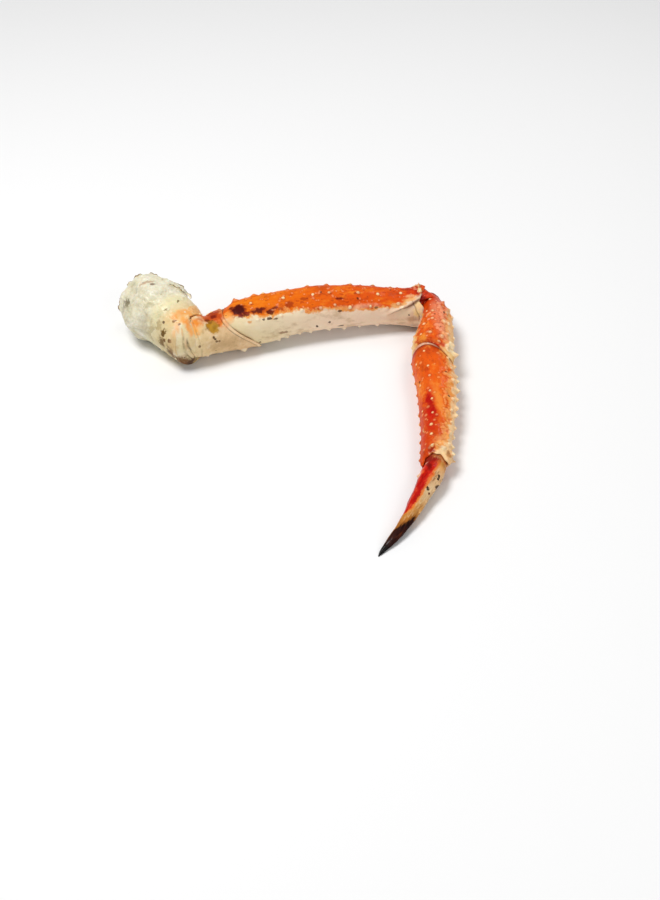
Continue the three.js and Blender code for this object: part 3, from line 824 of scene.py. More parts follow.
def build_skin(name, node, near_key, far_key, near_ring, far_ring, bulge, grooves, hollow=0.0):
    """A ring is (share, inflate) on its shell. A groove is (path, depth, width, darkness). Its path is
    a list of (angle, place between the rings), and the groove fades out at both ends of it."""
    near, far = shells[near_key], shells[far_key]
    angles = np.arange(SKIN_SIDES) * 360.0 / SKIN_SIDES
    t = np.linspace(0, 1, SKIN_ROWS)[:, None]
    sunk = near_ring[1] - hollow * smoothstep(angles, 72, 86) * (1 - smoothstep(angles, 146, 166))
    start = near.surface(near_ring[0], angles, sunk)
    finish = far.surface(far_ring[0], angles, far_ring[1])
    points = start * (1 - t[..., None]) + finish * t[..., None]
    wander = 0.02 * noise(points, 9, 71)
    lift, dark = bulge * np.sin(math.pi * t) ** 0.8 + 0 * angles, 0 * t + 0 * angles
    for path, depth, width, darkness in grooves:
        turns, places = zip(*path)
        shown = smoothstep(angles, turns[0] - 12, turns[0] + 8)
        shown = shown * (1 - smoothstep(angles, turns[-1] - 8, turns[-1] + 8))
        fold = band(t + wander, np.interp(angles, turns, places), width) * shown
        # Each groove's darkness paints shade into the fold, along with the fold's own darker line.
        lift, dark = lift - depth * fold, dark + darkness * fold
    points = points + grid_normals(points) * (lift + 0.15 * lumps(points, 6, 75, 2))[..., None]
    under_near = near.surface(near_ring[0] - TUCK_ALONG, angles, sunk - TUCK_DEPTH)
    under_far = far.surface(far_ring[0] + TUCK_ALONG, angles, far_ring[1] - TUCK_DEPTH)
    points = press_flat(np.concatenate([[under_near], points, [under_far]]))
    t, dark = (np.concatenate([grid[:1], grid, grid[-1:]]) for grid in (t + 0 * angles, np.clip(dark, 0, 1)))
    turned = (angles + 180) % 360 - 180 + 0 * t
    marks = {"along": t, "crease": dark, "round": turned / 180, "tone": tone_nowhere(t, turned)}
    first_tip, last_tip = (press_flat(points[end].mean(axis=0)) for end in (0, -1))
    made = grid_to_object(name, points, first_tip, last_tip, marks)
    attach(made, "root")
    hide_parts(node)
    print(f"{name}: {len(made.data.polygons)} faces")
    return made


# %% The five skins
def all_round(place):
    """The path of a groove that runs right round a skin, past both ends of the circle."""
    return [(-20, place), (380, place)]


hip_fold = [(92, 0.44), (112, 0.46), (128, 0.47), (140, 0.54), (152, 0.64), (165, 0.72)]
hip_crevice = [(102, 0.62), (117, 0.67), (124, 0.71), (134, 0.79), (149, 0.91), (158, 0.95)]
coxa_skin = build_skin("coxa_skin", "coxa_membrane", "coxa", "ischium", (0.97, 0.15), (0.055, -0.15), 1.6,
                       [(hip_fold, 0.8, 0.05, 0.7), (hip_crevice, 1.7, 0.046, 1.0)])
ischium_skin = build_skin("ischium_skin", "ischium_membrane", "ischium", "merus", (0.99, -2.7), (0.012, -2.6),
                          0.1, [(all_round(0.5), 0.3, 0.2, 0.8)])
knee_skin = build_skin("knee_skin", "knee_membrane", "merus", "carpus", (0.99, -1.3), (0.09, -0.3), 0.8,
                       [(all_round(0.3), 0.4, 0.08, 0.6)], hollow=3.0)
carpus_skin = build_skin("carpus_skin", "carpus_membrane", "carpus", "propodus", (0.995, -1.0), (0.01, -0.6),
                         0.5, [(all_round(0.85), 0.2, 0.1, 0.8)])
dactyl_skin = build_skin("dactyl_skin", "dactyl_membrane", "propodus", "dactyl", (0.985, -2.6), (0.03, -0.5),
                         0.0, [(all_round(0.3), 0.3, 0.2, 0.9)])

# %% [markdown]
# ## Torn film
#
# The skin of the shoulder was torn when the leg was pulled off, and ragged edges of film still stand
# up from it. Paper-thin cloth could be simulated, but the film is stiff once it is cooked, so each
# scrap is modelled as it lies: a strip that grows out of the surface, waves a little, and ends in a
# ragged edge. A front and a back are joined all round, so that it is a closed solid.

# %% Scraps of film on the shoulder: the root's path as (share, angle), reach, and lean along the leg
SCRAPS = [([(-0.27, 2), (-0.17, -6), (-0.07, -16)], 2.4, -0.3),
          ([(-0.34, 18), (-0.45, 42)], 2.4, -0.2),
          ([(-0.46, 50), (-0.46, 68)], 1.8, -0.2),
          ([(-0.42, 96), (-0.25, 120), (-0.14, 134)], 2.2, -0.2),
          ([(0.5, 4), (0.62, 0), (0.75, -6), (0.9, -13)], 4.6, 1.3),
          ([(0.4, -22), (0.6, -28), (0.8, -31), (0.97, -34)], 2.8, 0.5),
          ([(0.3, 28), (0.18, 44)], 1.6, -1.2),
          ([(0.0, 92), (0.16, 104)], 1.6, -1.2),
          ([(-0.1, 160), (0.0, 196)], 2.4, -0.8),
          ([(-0.1, -40), (0.0, -90)], 2.6, -0.8),
          ([(0.4, -70), (0.9, -80)], 2.4, 0.3)]
print("scraps:", len(SCRAPS), "from", min(reach for _, reach, _ in SCRAPS), "to",
      max(reach for _, reach, _ in SCRAPS), "mm")

# %% The two sides of a scrap
SCRAP_WIDE, SCRAP_DEEP = 44, 12
ROOT_DEPTH = 1.3


def scrap_sides(path, reach, lean, seed):
    """Front and back points of one scrap, and how far out each of them is."""
    shell = shells["shoulder"]
    knots = np.linspace(0, 1, len(path))
    out = np.linspace(0, 1, SCRAP_DEEP)
    front, back = np.zeros((2, SCRAP_WIDE, SCRAP_DEEP, 3))
    for i, u in enumerate(np.linspace(0, 1, SCRAP_WIDE)):
        nearby = u + 0.01 if u < 1 else u - 0.01
        (share, where), (next_share, next_where) = [
            [np.interp(v, knots, [p[k] for p in path]) for k in (0, 1)] for v in (u, nearby)]
        tip = shell.outward(share, where) + lean * shell.axis
        tip /= np.linalg.norm(tip)
        side = (shell.spot(next_share, next_where) - shell.spot(share, where)) * (1 if u < 1 else -1)
        normal = np.cross(side / np.linalg.norm(side), tip)
        root = shell.spot(share, where, -ROOT_DEPTH)
        taper = 1 - abs(2 * u - 1) ** 4
        rough = 0.62 + 0.4 * noise(root, 4.2, seed) + 0.42 * noise(root, 1.5, seed + 9)
        far = ROOT_DEPTH + reach * max(rough, 0.15) * taper
        line = root + out[:, None] * far * tip
        wave = 0.6 * noise(line, 4, seed + 1) * out
        thin = 0.32 - 0.2 * out
        front[i] = line + (wave + thin)[:, None] * normal
        back[i] = line + (wave - thin)[:, None] * normal
    return front, back, np.broadcast_to(out, (SCRAP_WIDE, SCRAP_DEEP))


# %% Join the scraps into one mesh
def closed_sheet(wide, deep, first):
    """Faces between a front and a back grid of points, numbered from first."""
    def front(i, j):
        return first + i * deep + j

    def back(i, j):
        return first + wide * deep + i * deep + j

    faces = []
    for i in range(wide - 1):
        for j in range(deep - 1):
            faces.append((front(i, j), front(i + 1, j), front(i + 1, j + 1), front(i, j + 1)))
            faces.append((back(i, j), back(i, j + 1), back(i + 1, j + 1), back(i + 1, j)))
    rim = ([(i, 0) for i in range(wide)] + [(wide - 1, j) for j in range(1, deep)]
           + [(i, deep - 1) for i in range(wide - 2, -1, -1)] + [(0, j) for j in range(deep - 2, 0, -1)])
    for k, here in enumerate(rim):
        there = rim[(k + 1) % len(rim)]
        faces.append((front(*there), front(*here), back(*here), back(*there)))
    return faces


corners, sheets, outs = [], [], []
for seed, scrap in enumerate(SCRAPS):
    front, back, out = scrap_sides(*scrap, seed + 3)
    sheets += closed_sheet(SCRAP_WIDE, SCRAP_DEEP, sum(len(c) for c in corners))
    corners += [front.reshape(-1, 3), back.reshape(-1, 3)]
    outs += [out.reshape(-1)] * 2
film = mesh_object("shoulder_film", press_flat(np.concatenate(corners)), sheets,
                   {"out": np.concatenate(outs)})
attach(film, "root")
print("shoulder_film:", len(SCRAPS), "scraps,", len(film.data.polygons), "faces")

# %% [markdown]
# ## Paint kit: node groups
#
# The same effects appear on many pieces: uneven colour, dark specks, ragged stains, the fine relief of
# the shell and the creases of the skin. Each effect is a shader node group with named inputs, built
# once and then placed in a material with that material's own values. A group hands out only a colour,
# a mask or a height. The Principled BSDF stays in each material.

# %% Colours
def colour(code):
    """A hex colour as Blender wants it: linear red, green and blue, and an alpha of 1."""
    parts = [int(code[i:i + 2], 16) / 255 for i in (0, 2, 4)]
    return tuple(p / 12.92 if p <= 0.04045 else ((p + 0.055) / 1.055) ** 2.4 for p in parts) + (1.0,)


# %% A small helper that adds and wires nodes
class Board:
    """Adds nodes to one tree. An input is a plain value, or another node's output to wire in."""

    def __init__(self, tree):
        self.tree = tree

    def add(self, kind, inputs=None, **settings):
        made = self.tree.nodes.new(kind)
        for key, value in settings.items():
            setattr(made, key, value)
        for key, value in (inputs or {}).items():
            if isinstance(value, bpy.types.NodeSocket):
                self.tree.links.new(value, made.inputs[key])
            else:
                made.inputs[key].default_value = value
        return made

    def math(self, operation, a, b=0.0, clamp=False):
        return self.add("ShaderNodeMath", {0: a, 1: b}, operation=operation, use_clamp=clamp).outputs[0]

    def vector(self, operation, a, b):
        return self.add("ShaderNodeVectorMath", {0: a, 1: b}, operation=operation)

    def wire(self, value, socket):
        self.tree.links.new(value, socket)

    def blend(self, share, a, b):
        """Colour a where share is 0 and colour b where it is 1. Its colour sockets are 6 and 7."""
        return self.add("ShaderNodeMix", {0: share, 6: a, 7: b}, data_type="RGBA").outputs[2]

    def tint(self, base, mask, strength, code):
        """Lays a hex colour over the base where the mask is 1."""
        return self.blend(self.math("MULTIPLY", mask, strength), base, colour(code))

    def edge(self, inside, strength):
        """A band where a mask passes from 0 to 1."""
        outside = self.math("SUBTRACT", 1.0, inside)
        return self.math("MULTIPLY", self.math("MULTIPLY", inside, outside), strength)

    def fade(self, value, low, high, kind="SMOOTHSTEP"):
        """0 at low and 1 at high."""
        return self.add("ShaderNodeMapRange", {0: value, 1: low, 2: high}, interpolation_type=kind).outputs[0]

    def mark(self, title):
        """A value that was stored on the mesh's points."""
        return self.add("ShaderNodeAttribute", attribute_name=title).outputs["Fac"]

    def noise(self, place, scale, detail=4.0, roughness=0.55):
        return self.add("ShaderNodeTexNoise", {"Vector": place, "Scale": scale, "Detail": detail,
                                               "Roughness": roughness}).outputs["Fac"]

    def wander(self, place, scale, detail=4.0, roughness=0.55):
        """Noise that goes as far below 0 as above it."""
        return self.math("SUBTRACT", self.noise(place, scale, detail, roughness), 0.5)


def new_group(title, inputs, outputs):
    """An empty group with named sockets. Gives its board, its inputs' sockets and its output node."""
    tree = bpy.data.node_groups.new(title, "ShaderNodeTree")
    for name, kind, value in inputs:
        socket = tree.interface.new_socket(name, in_out="INPUT", socket_type="NodeSocket" + kind)
        if value is not None:
            socket.default_value = value
    for name, kind in outputs:
        tree.interface.new_socket(name, in_out="OUTPUT", socket_type="NodeSocket" + kind)
    board = Board(tree)
    return board, board.add("NodeGroupInput").outputs, board.add("NodeGroupOutput").inputs


# %% [markdown]
# **Uneven colour** lets a colour drift between a darker and a lighter one, as pigment does in shell.
# Two sizes of noise are added up: broad clouds and small freckles.

# %% Group: uneven colour
board, given, result = new_group(
    "Uneven colour",
    [("Place", "Vector", None), ("Scale", "Float", 60.0), ("Colour", "Color", (1, 1, 1, 1)),
     ("Darker", "Color", (0, 0, 0, 1)), ("Lighter", "Color", (1, 1, 1, 1)), ("Amount", "Float", 0.6)],
    [("Colour", "Color")])
clouds = board.noise(given["Place"], given["Scale"], 5.0, 0.6)
freckles = board.noise(given["Place"], board.math("MULTIPLY", given["Scale"], 4.7), 3.0, 0.6)
mixed = board.math("ADD", board.math("MULTIPLY", clouds, 0.65), board.math("MULTIPLY", freckles, 0.35))
dark = board.math("MULTIPLY", board.fade(mixed, 0.5, 0.34), given["Amount"])
light = board.math("MULTIPLY", board.fade(mixed, 0.5, 0.66), given["Amount"])
drifted = board.blend(dark, given["Colour"], given["Darker"])
board.wire(board.blend(light, drifted, given["Lighter"]), result["Colour"])
print("group:", board.tree.name)

# %% [markdown]
# **Ragged stain** is a blot around one point. The distance to the point, measured in the blot's own
# width along X, Y and Z, is disturbed with noise, so that the blot's edge is torn rather than round.
# Soft says how gently it fades out.

# %% Group: ragged stain
board, given, result = new_group(
    "Ragged stain",
    [("Place", "Vector", None), ("Middle", "Vector", None), ("Reach", "Vector", (0.005, 0.005, 0.005)),
     ("Ragged", "Float", 0.6), ("Scale", "Float", 260.0), ("Soft", "Float", 0.18)],
    [("Mask", "Float")])
offset = board.vector("SUBTRACT", given["Place"], given["Middle"]).outputs[0]
distance = board.vector("DIVIDE", offset, given["Reach"]).outputs[0]
distance = board.add("ShaderNodeVectorMath", {0: distance}, operation="LENGTH").outputs["Value"]
tear = board.math("MULTIPLY", board.wander(given["Place"], given["Scale"], 4.0, 0.6), 2.6)
distance = board.math("ADD", distance, board.math("MULTIPLY", tear, given["Ragged"]))
far_edge = board.math("ADD", 0.9, given["Soft"])
near_edge = board.math("SUBTRACT", 0.9, given["Soft"])
board.wire(board.fade(distance, far_edge, near_edge), result["Mask"])
print("group:", board.tree.name)

# %% [markdown]
# **Dark specks** strews small dots. A Voronoi texture splits space into cells, and each cell has a
# random colour. One part of that colour decides whether the cell gets a dot, another how large it is.
# A little noise bends the space first, so that the dots aren't round.

# %% Group: dark specks
board, given, result = new_group(
    "Dark specks",
    [("Place", "Vector", None), ("Scale", "Float", 250.0), ("Size", "Float", 0.3), ("Chance", "Float", 0.1)],
    [("Mask", "Float")])
wobble = board.add("ShaderNodeTexNoise", {"Vector": given["Place"], "Scale": 700.0, "Detail": 2.0})
bent = board.vector("SUBTRACT", wobble.outputs["Color"], (0.5, 0.5, 0.5)).outputs[0]
bent = board.add("ShaderNodeVectorMath", {0: bent, 3: 0.0022}, operation="SCALE").outputs[0]
cells = board.add("ShaderNodeTexVoronoi", {"Vector": board.vector("ADD", given["Place"], bent).outputs[0],
                                           "Scale": given["Scale"], "Randomness": 1.0})
chance, size, _ = board.add("ShaderNodeSeparateColor", {0: cells.outputs["Color"]}).outputs
dot = board.math("MULTIPLY", given["Size"], board.math("ADD", board.math("MULTIPLY", size, 0.9), 0.35))
dot = board.math("SUBTRACT", dot, cells.outputs["Distance"])
chosen = board.math("LESS_THAN", chance, given["Chance"])
board.wire(board.math("MULTIPLY", board.fade(dot, 0.0, 0.09), chosen), result["Mask"])
print("group:", board.tree.name)

# %% [markdown]
# **Shell relief** is the grain that is too fine to model: a faint unevenness and tiny pits. It only
# feeds a Bump node.

# %% Group: shell relief
board, given, result = new_group(
    "Shell relief",
    [("Place", "Vector", None), ("Scale", "Float", 300.0), ("Pits", "Float", 0.5)],
    [("Height", "Float")])
uneven = board.noise(given["Place"], given["Scale"], 5.0, 0.6)
fine_scale = board.math("MULTIPLY", given["Scale"], 2.6)
cells = board.add("ShaderNodeTexVoronoi", {"Vector": given["Place"], "Scale": fine_scale})
pits = board.math("MULTIPLY", board.fade(cells.outputs["Distance"], 0.28, 0.1), given["Pits"])
board.wire(board.math("SUBTRACT", uneven, pits), result["Height"])
print("group:", board.tree.name)

# %% [markdown]
# **Skin creases** draws fine wandering lines. Noise crosses its middle value along curved lines, and
# the distance to that value, turned over, gives a sharp ridge there.

# %% Group: skin creases
board, given, result = new_group(
    "Skin creases",
    [("Place", "Vector", None), ("Scale", "Float", 120.0), ("Sharpness", "Float", 7.0)],
    [("Lines", "Float"), ("Height", "Float")])
rough = board.noise(given["Place"], given["Scale"], 4.0, 0.5)
away = board.math("ABSOLUTE", board.math("SUBTRACT", rough, 0.5))
lines = board.math("SUBTRACT", 1.0, board.math("MULTIPLY", away, given["Sharpness"]), clamp=True)
board.wire(lines, result["Lines"])
board.wire(board.math("SUBTRACT", rough, board.math("MULTIPLY", lines, 0.35)), result["Height"])
print("group:", board.tree.name)

# %% [markdown]
# ## Shared steps of every material
#
# Each material starts the same way, with a wet coat over a surface that lets a little light in. Stains
# are laid one over the other, and a bump node adds the relief that is too fine to model.

# %% Steps that all materials share
def use_group(board, title, values):
    return board.add("ShaderNodeGroup", values, node_tree=bpy.data.node_groups[title]).outputs


def along_colours(board, share, stops):
    """A colour that changes along the piece: (share, hex colour) stops."""
    made = board.add("ShaderNodeValToRGB", {0: share})
    ramp = made.color_ramp
    ramp.elements[0].position, ramp.elements[0].color = stops[0][0], colour(stops[0][1])
    ramp.elements[1].position, ramp.elements[1].color = stops[-1][0], colour(stops[-1][1])
    for at, code in stops[1:-1]:
        ramp.elements.new(at).color = colour(code)
    return made.outputs[0]


def start_material(title, subsurface, glow, coat, coat_roughness):
    """The light that goes under the surface comes out tinted with glow."""
    material = bpy.data.materials.new(title)
    material.use_nodes = True
    board = Board(material.node_tree)
    shader = board.tree.nodes["Principled BSDF"]
    shader.inputs["Specular IOR Level"].default_value = 0.06
    shader.inputs["Subsurface Weight"].default_value = subsurface
    shader.inputs["Subsurface Radius"].default_value = glow
    shader.inputs["Subsurface Scale"].default_value = 0.003
    shader.inputs["Coat Weight"].default_value = coat
    shader.inputs["Coat Roughness"].default_value = coat_roughness
    place = board.add("ShaderNodeTexCoord").outputs["Object"]
    return material, board, shader, place


def bump_surface(board, shader, height, strength, distance):
    bump = board.add("ShaderNodeBump", {"Height": height, "Strength": strength, "Distance": distance})
    board.wire(bump.outputs[0], shader.inputs["Normal"])


# %% Stains
def in_metres(millimetres):
    return tuple(v * METRES for v in millimetres)


def paint_stains(board, place, base, stains):
    """Each stain is (middle in mm, reach in mm, hex colour, strength, raggedness, softness)."""
    for middle, reach, code, strength, ragged, soft in stains:
        mask = use_group(board, "Ragged stain", {
            "Place": place, "Middle": in_metres(middle), "Reach": in_metres(reach), "Ragged": ragged,
            "Soft": soft})["Mask"]
        base = board.tint(base, mask, strength, code)
    return base


# %% [markdown]
# ## The shell's paint
#
# All hard pieces share one recipe, and one list of the usual colours and amounts, of which each piece
# changes a few. The stored tone says how many millimetres a point lies inside the orange, so noise added
# to it makes the border between orange and cream wander, and a yellowish peach band follows the border.
# The three long pieces stretch their noise along their own length, because the pigment runs in streaks
# there.

# %% The usual colours and amounts
SHELL_PAINT = dict(
    stretch=(1, 1, 1), orange_dark="a8330a", orange_light="f0953a", cream_dark="b89a70",
    cream_light="ecdcc0", cream_drift=0.55, border="eda552", border_soft=1.4, pale="f0dcb8",
    grain_colour="f0a070", grain_share=0.5, flush=0.35, speck_chance=0.1, tip="e9bd80", tip_top="f6e4bc",
    dirt="5c2a10")
SHELL_COAT = 0.16
SHELL_GLOW, SKIN_GLOW = (1.0, 0.35, 0.15), (1.0, 0.62, 0.4)

# %% Orange and cream, and the border between them
def two_tones(board, place, orange, cream, look):
    """The shell's ground colour, and how far inside the orange each point is, from 0 to 1."""
    share, tone = board.mark("along"), board.mark("tone")
    drawn_out = board.vector("MULTIPLY", place, look.stretch).outputs[0]
    orange_paint = use_group(board, "Uneven colour", {
        "Place": drawn_out, "Scale": 85.0, "Colour": along_colours(board, share, orange),
        "Darker": colour(look.orange_dark), "Lighter": colour(look.orange_light), "Amount": 0.6})["Colour"]
    cream_paint = use_group(board, "Uneven colour", {
        "Place": drawn_out, "Scale": 60.0, "Colour": along_colours(board, share, cream),
        "Darker": colour(look.cream_dark), "Lighter": colour(look.cream_light),
        "Amount": look.cream_drift})["Colour"]
    freckles = use_group(board, "Dark specks", {"Place": drawn_out, "Scale": 430.0, "Size": 0.5,
                                                "Chance": 0.22})["Mask"]
    orange_paint = board.tint(orange_paint, freckles, 0.5, look.orange_dark)
    wander = board.wander(place, 170.0, 3.0, 0.5)
    ragged_tone = board.math("ADD", tone, board.math("MULTIPLY", wander, 7.0 + 3.0 * look.border_soft))
    inside = board.fade(ragged_tone, -look.border_soft, look.border_soft)
    base = board.blend(inside, cream_paint, orange_paint)
    return board.blend(board.edge(inside, 3.4), base, colour(look.border)), inside


# %% [markdown]
# Over the two tones come the pale rims and crests and the stains that the piece has. Then the raised
# marks are picked out: grains and spines in lighter colours, with a darker ring round each. There are
# dark specks, and dirt and painted shade in the creases.

# %% Grains, spines, specks, and dirt and painted shade in the creases
def pick_out_grains(board, base, inside, look):
    grain = board.mark("grain")
    ring = board.math("MULTIPLY", board.fade(grain, 0.03, 0.2), board.fade(grain, 0.5, 0.25))
    base = board.tint(base, board.math("MULTIPLY", ring, inside), 0.35, look.orange_dark)
    grains = board.math("MULTIPLY", board.fade(grain, 0.15, 0.95), inside)
    return board.tint(base, grains, look.grain_share, look.grain_colour)


def ring_spines(board, base, inside, look):
    around = board.math("MULTIPLY", board.fade(board.mark("swelling"), 0.1, 0.4), look.flush)
    ring = board.math("MULTIPLY", around, board.fade(inside, -0.3, 1.0))
    return board.blend(ring, base, colour(look.orange_dark))


def whiten_spines(board, place, base, inside, look):
    uneven = board.fade(board.noise(place, 60.0, 2.0), 0.36, 0.6)
    whitened = board.math("MULTIPLY", board.fade(board.mark("tip"), 0.16, 0.4),
                          board.math("ADD", board.math("MULTIPLY", uneven, 0.45), 0.5))
    foot = board.blend(inside, colour(look.cream_light), colour(look.tip))
    point = board.blend(board.fade(board.mark("tip"), 0.45, 0.85), foot, colour(look.tip_top))
    return board.blend(whitened, base, point)


# Darkens the creases with dirt and with painted shade, in patches picked out by noise.
def paint_crease_dirt_and_shade(board, place, base, dirt):
    crease_dirt_and_shade_mask = board.math("MULTIPLY", board.mark("crease"), board.fade(board.noise(place, 140.0), 0.28, 0.5))
    return board.tint(base, crease_dirt_and_shade_mask, 0.85, dirt)


# %% [markdown]
# Cooked shell is wet and shiny: a clear coat gives the sharp highlights, and a little light goes under
# the surface. Where a shell has been rubbed, the coat is worn away and the spot is dull.

# %% The whole recipe for a piece of shell
def rub_dull(board, shader, place, middle, reach):
    rubbed = use_group(board, "Ragged stain", {
        "Place": place, "Middle": in_metres(middle), "Reach": in_metres(reach), "Ragged": 0.4,
        "Soft": 0.5})["Mask"]
    worn_off = board.math("MULTIPLY", rubbed, SHELL_COAT)
    board.wire(board.math("SUBTRACT", SHELL_COAT, worn_off), shader.inputs["Coat Weight"])


def shell_material(title, orange, cream, stains, dull=None, **changes):
    look = SimpleNamespace(**{**SHELL_PAINT, **changes})
    material, board, shader, place = start_material(
        title, subsurface=0.08, glow=SHELL_GLOW, coat=SHELL_COAT, coat_roughness=0.13)
    base, inside = two_tones(board, place, orange, cream, look)
    base = board.tint(base, board.mark("pale"), 0.75, look.pale)
    base = paint_stains(board, place, base, stains)
    base = pick_out_grains(board, base, inside, look)
    base = ring_spines(board, base, inside, look)
    specks = use_group(board, "Dark specks", {"Place": place, "Scale": 210.0, "Size": 0.26,
                                              "Chance": look.speck_chance})["Mask"]
    base = board.tint(base, specks, 0.85, "3c1a0c")
    base = whiten_spines(board, place, base, inside, look)
    board.wire(paint_crease_dirt_and_shade(board, place, base, look.dirt), shader.inputs["Base Color"])
    worn = board.fade(board.noise(place, 130.0, 5.0, 0.6), 0.3, 0.7, "LINEAR")
    rough = board.math("ADD", board.math("MULTIPLY", worn, 0.22), 0.32)
    board.wire(rough, shader.inputs["Roughness"])
    if dull:
        rub_dull(board, shader, place, *dull)
    height = use_group(board, "Shell relief", {"Place": place, "Scale": 320.0, "Pits": 0.5})["Height"]
    bump_surface(board, shader, height, 0.6, 0.0006)
    return material


def dress(piece, material):
    piece.data.materials.append(material)
    print(f"{piece.name} wears {material.name}")


# %% [markdown]
# ## Paint the merus
#
# Along its orange side the merus goes from a warm yellow-orange to a redder one. It has a dark maroon
# blot near the hip, some dark streaks beside it, and a smear of red on top of the far end. Its cream
# face is greenish at the hip and pinkish further on.

# %% Merus colours
merus_stains = [
    ((-55.0, 101.4, 40.8), (5.0, 5.0, 4.4), "f0a048", 0.7, 0.7, 0.5),
    ((-54.6, 96.6, 38.6), (4.0, 4.0, 4.0), "eab27a", 0.6, 0.8, 0.5),
    ((-44.2, 104.6, 42.6), (8.4, 7.0, 5.4), "a02808", 0.85, 0.6, 0.35),
    ((-44.6, 105.2, 42.9), (7.0, 6.0, 5.0), "440402", 0.97, 0.5, 0.2),
    ((-43.6, 99.4, 40.6), (3.4, 2.0, 2.2), "7a1406", 0.8, 0.9, 0.3),
    ((-39.0, 100.6, 41.4), (5.0, 2.6, 3.0), "5e0e04", 0.9, 0.9, 0.25),
    ((-24.0, 101.4, 42.0), (14.0, 3.6, 3.4), "b03c0a", 0.6, 0.9, 0.4),
    ((-28.0, 101.4, 42.2), (5.4, 2.6, 2.8), "561004", 0.92, 0.9, 0.25),
    ((-22.4, 102.6, 42.8), (4.0, 2.0, 2.4), "661406", 0.85, 1.0, 0.25),
    ((-17.0, 99.6, 41.0), (4.6, 2.6, 2.8), "561004", 0.92, 0.9, 0.25),
    ((-12.0, 102.1, 42.7), (3.0, 2.4, 2.4), "6a1c08", 0.85, 0.9, 0.3),
    ((-8.0, 101.0, 41.5), (5.0, 1.6, 2.0), "983008", 0.6, 1.1, 0.3),
    ((2.2, 104.1, 43.6), (4.0, 3.4, 3.0), "8e1e06", 0.7, 1.0, 0.4),
    ((16.7, 107.5, 44.6), (3.0, 1.6, 2.0), "8e2a08", 0.6, 1.0, 0.3),
    ((50.6, 105.0, 42.2), (6.4, 2.4, 2.8), "a8340a", 0.6, 0.9, 0.4),
    ((50.6, 105.0, 42.2), (4.6, 1.3, 2.0), "6a1404", 0.85, 1.0, 0.2),
    ((66.0, 109.7, 42.0), (2.0, 1.4, 1.6), "8a3008", 0.6, 0.9, 0.3),
    ((-18.2, 95.0, 36.6), (2.4, 1.1, 1.3), "3a1c10", 0.9, 1.2, 0.2),
    ((-12.5, 94.8, 35.8), (2.2, 0.8, 1.0), "4a2814", 0.8, 1.2, 0.2),
    ((-6.1, 92.6, 20.4), (4.4, 1.6, 1.5), "7c4a24", 0.7, 1.0, 0.3),
    ((-37.2, 93.9, 36.4), (2.4, 1.6, 1.6), "d89048", 0.8, 0.8, 0.3),
    ((26.2, 94.6, 21.3), (1.5, 1.3, 1.3), "38200f", 0.95, 0.7, 0.2),
    ((49.0, 95.4, 17.4), (2.6, 1.6, 1.2), "2e180c", 0.9, 0.8, 0.2),
    ((48.2, 96.4, 34.2), (2.4, 1.0, 1.0), "4c2a14", 0.85, 0.9, 0.2),
    ((82.9, 96.7, 32.6), (1.8, 1.2, 1.2), "5a3418", 0.8, 0.9, 0.2),
    ((121.0, 112.0, 37.0), (9.0, 8.0, 8.0), "cc3406", 0.85, 0.6, 0.5),
    ((126.0, 109.0, 36.0), (4.0, 5.0, 5.0), "a81a04", 0.8, 0.8, 0.4),
    ((115.6, 114.4, 35.8), (5.6, 2.6, 3.0), "a83008", 0.8, 0.8, 0.4),
    ((123.0, 115.5, 35.0), (5.0, 4.0, 4.0), "ae2606", 0.85, 0.7, 0.5),
    ((70.0, 98.0, 35.0), (16.0, 2.6, 2.6), "eeb08c", 0.5, 0.8, 0.4),
    ((106.5, 97.0, 31.8), (9.0, 2.4, 2.4), "e4a868", 0.85, 0.6, 0.4),
    ((116.5, 100.4, 33.6), (7.0, 2.4, 2.4), "e8a864", 0.85, 0.6, 0.4),
    ((117.4, 104.2, 35.2), (4.6, 2.0, 2.2), "ecb078", 0.8, 0.5, 0.4),
    # The hollow facet gets a pale grey-tan tint, painted lighter than its own colour to lift it out of its shade.
    ((108.0, 93.0, 25.0), (9.0, 4.0, 6.0), "ecdab8", 0.7, 0.3, 0.7),
    ((121.6, 90.4, 24.0), (4.4, 5.0, 7.0), "f6da9c", 0.95, 0.4, 0.3),
    ((124.0, 96.0, 30.0), (4.6, 5.0, 4.4), "f2cc94", 0.9, 0.4, 0.3),
    # A painted shadow: brown at the facet's lower corner.
    ((116.5, 91.6, 16.0), (5.0, 4.0, 3.6), "b08058", 0.6, 0.6, 0.6),
    ((-51.0, 109.0, 41.5), (2.6, 2.6, 2.6), "5e1206", 0.85, 0.8, 0.4)]
merus_paint = shell_material(
    "merus shell paint",
    [(0.0, "da600c"), (0.1, "e47606"), (0.3, "e06606"), (0.6, "da5408"), (1.0, "d84c0a")],
    [(0.0, "e4d2a6"), (0.2, "ecd9b6"), (0.5, "f1d6ba"), (0.85, "edd0b4"), (1.0, "e0c4a6")],
    merus_stains, stretch=(0.5, 1, 1), border_soft=2.2, border="e6963c", orange_light="ee8a20",
    speck_chance=0.06)
dress(merus, merus_paint)
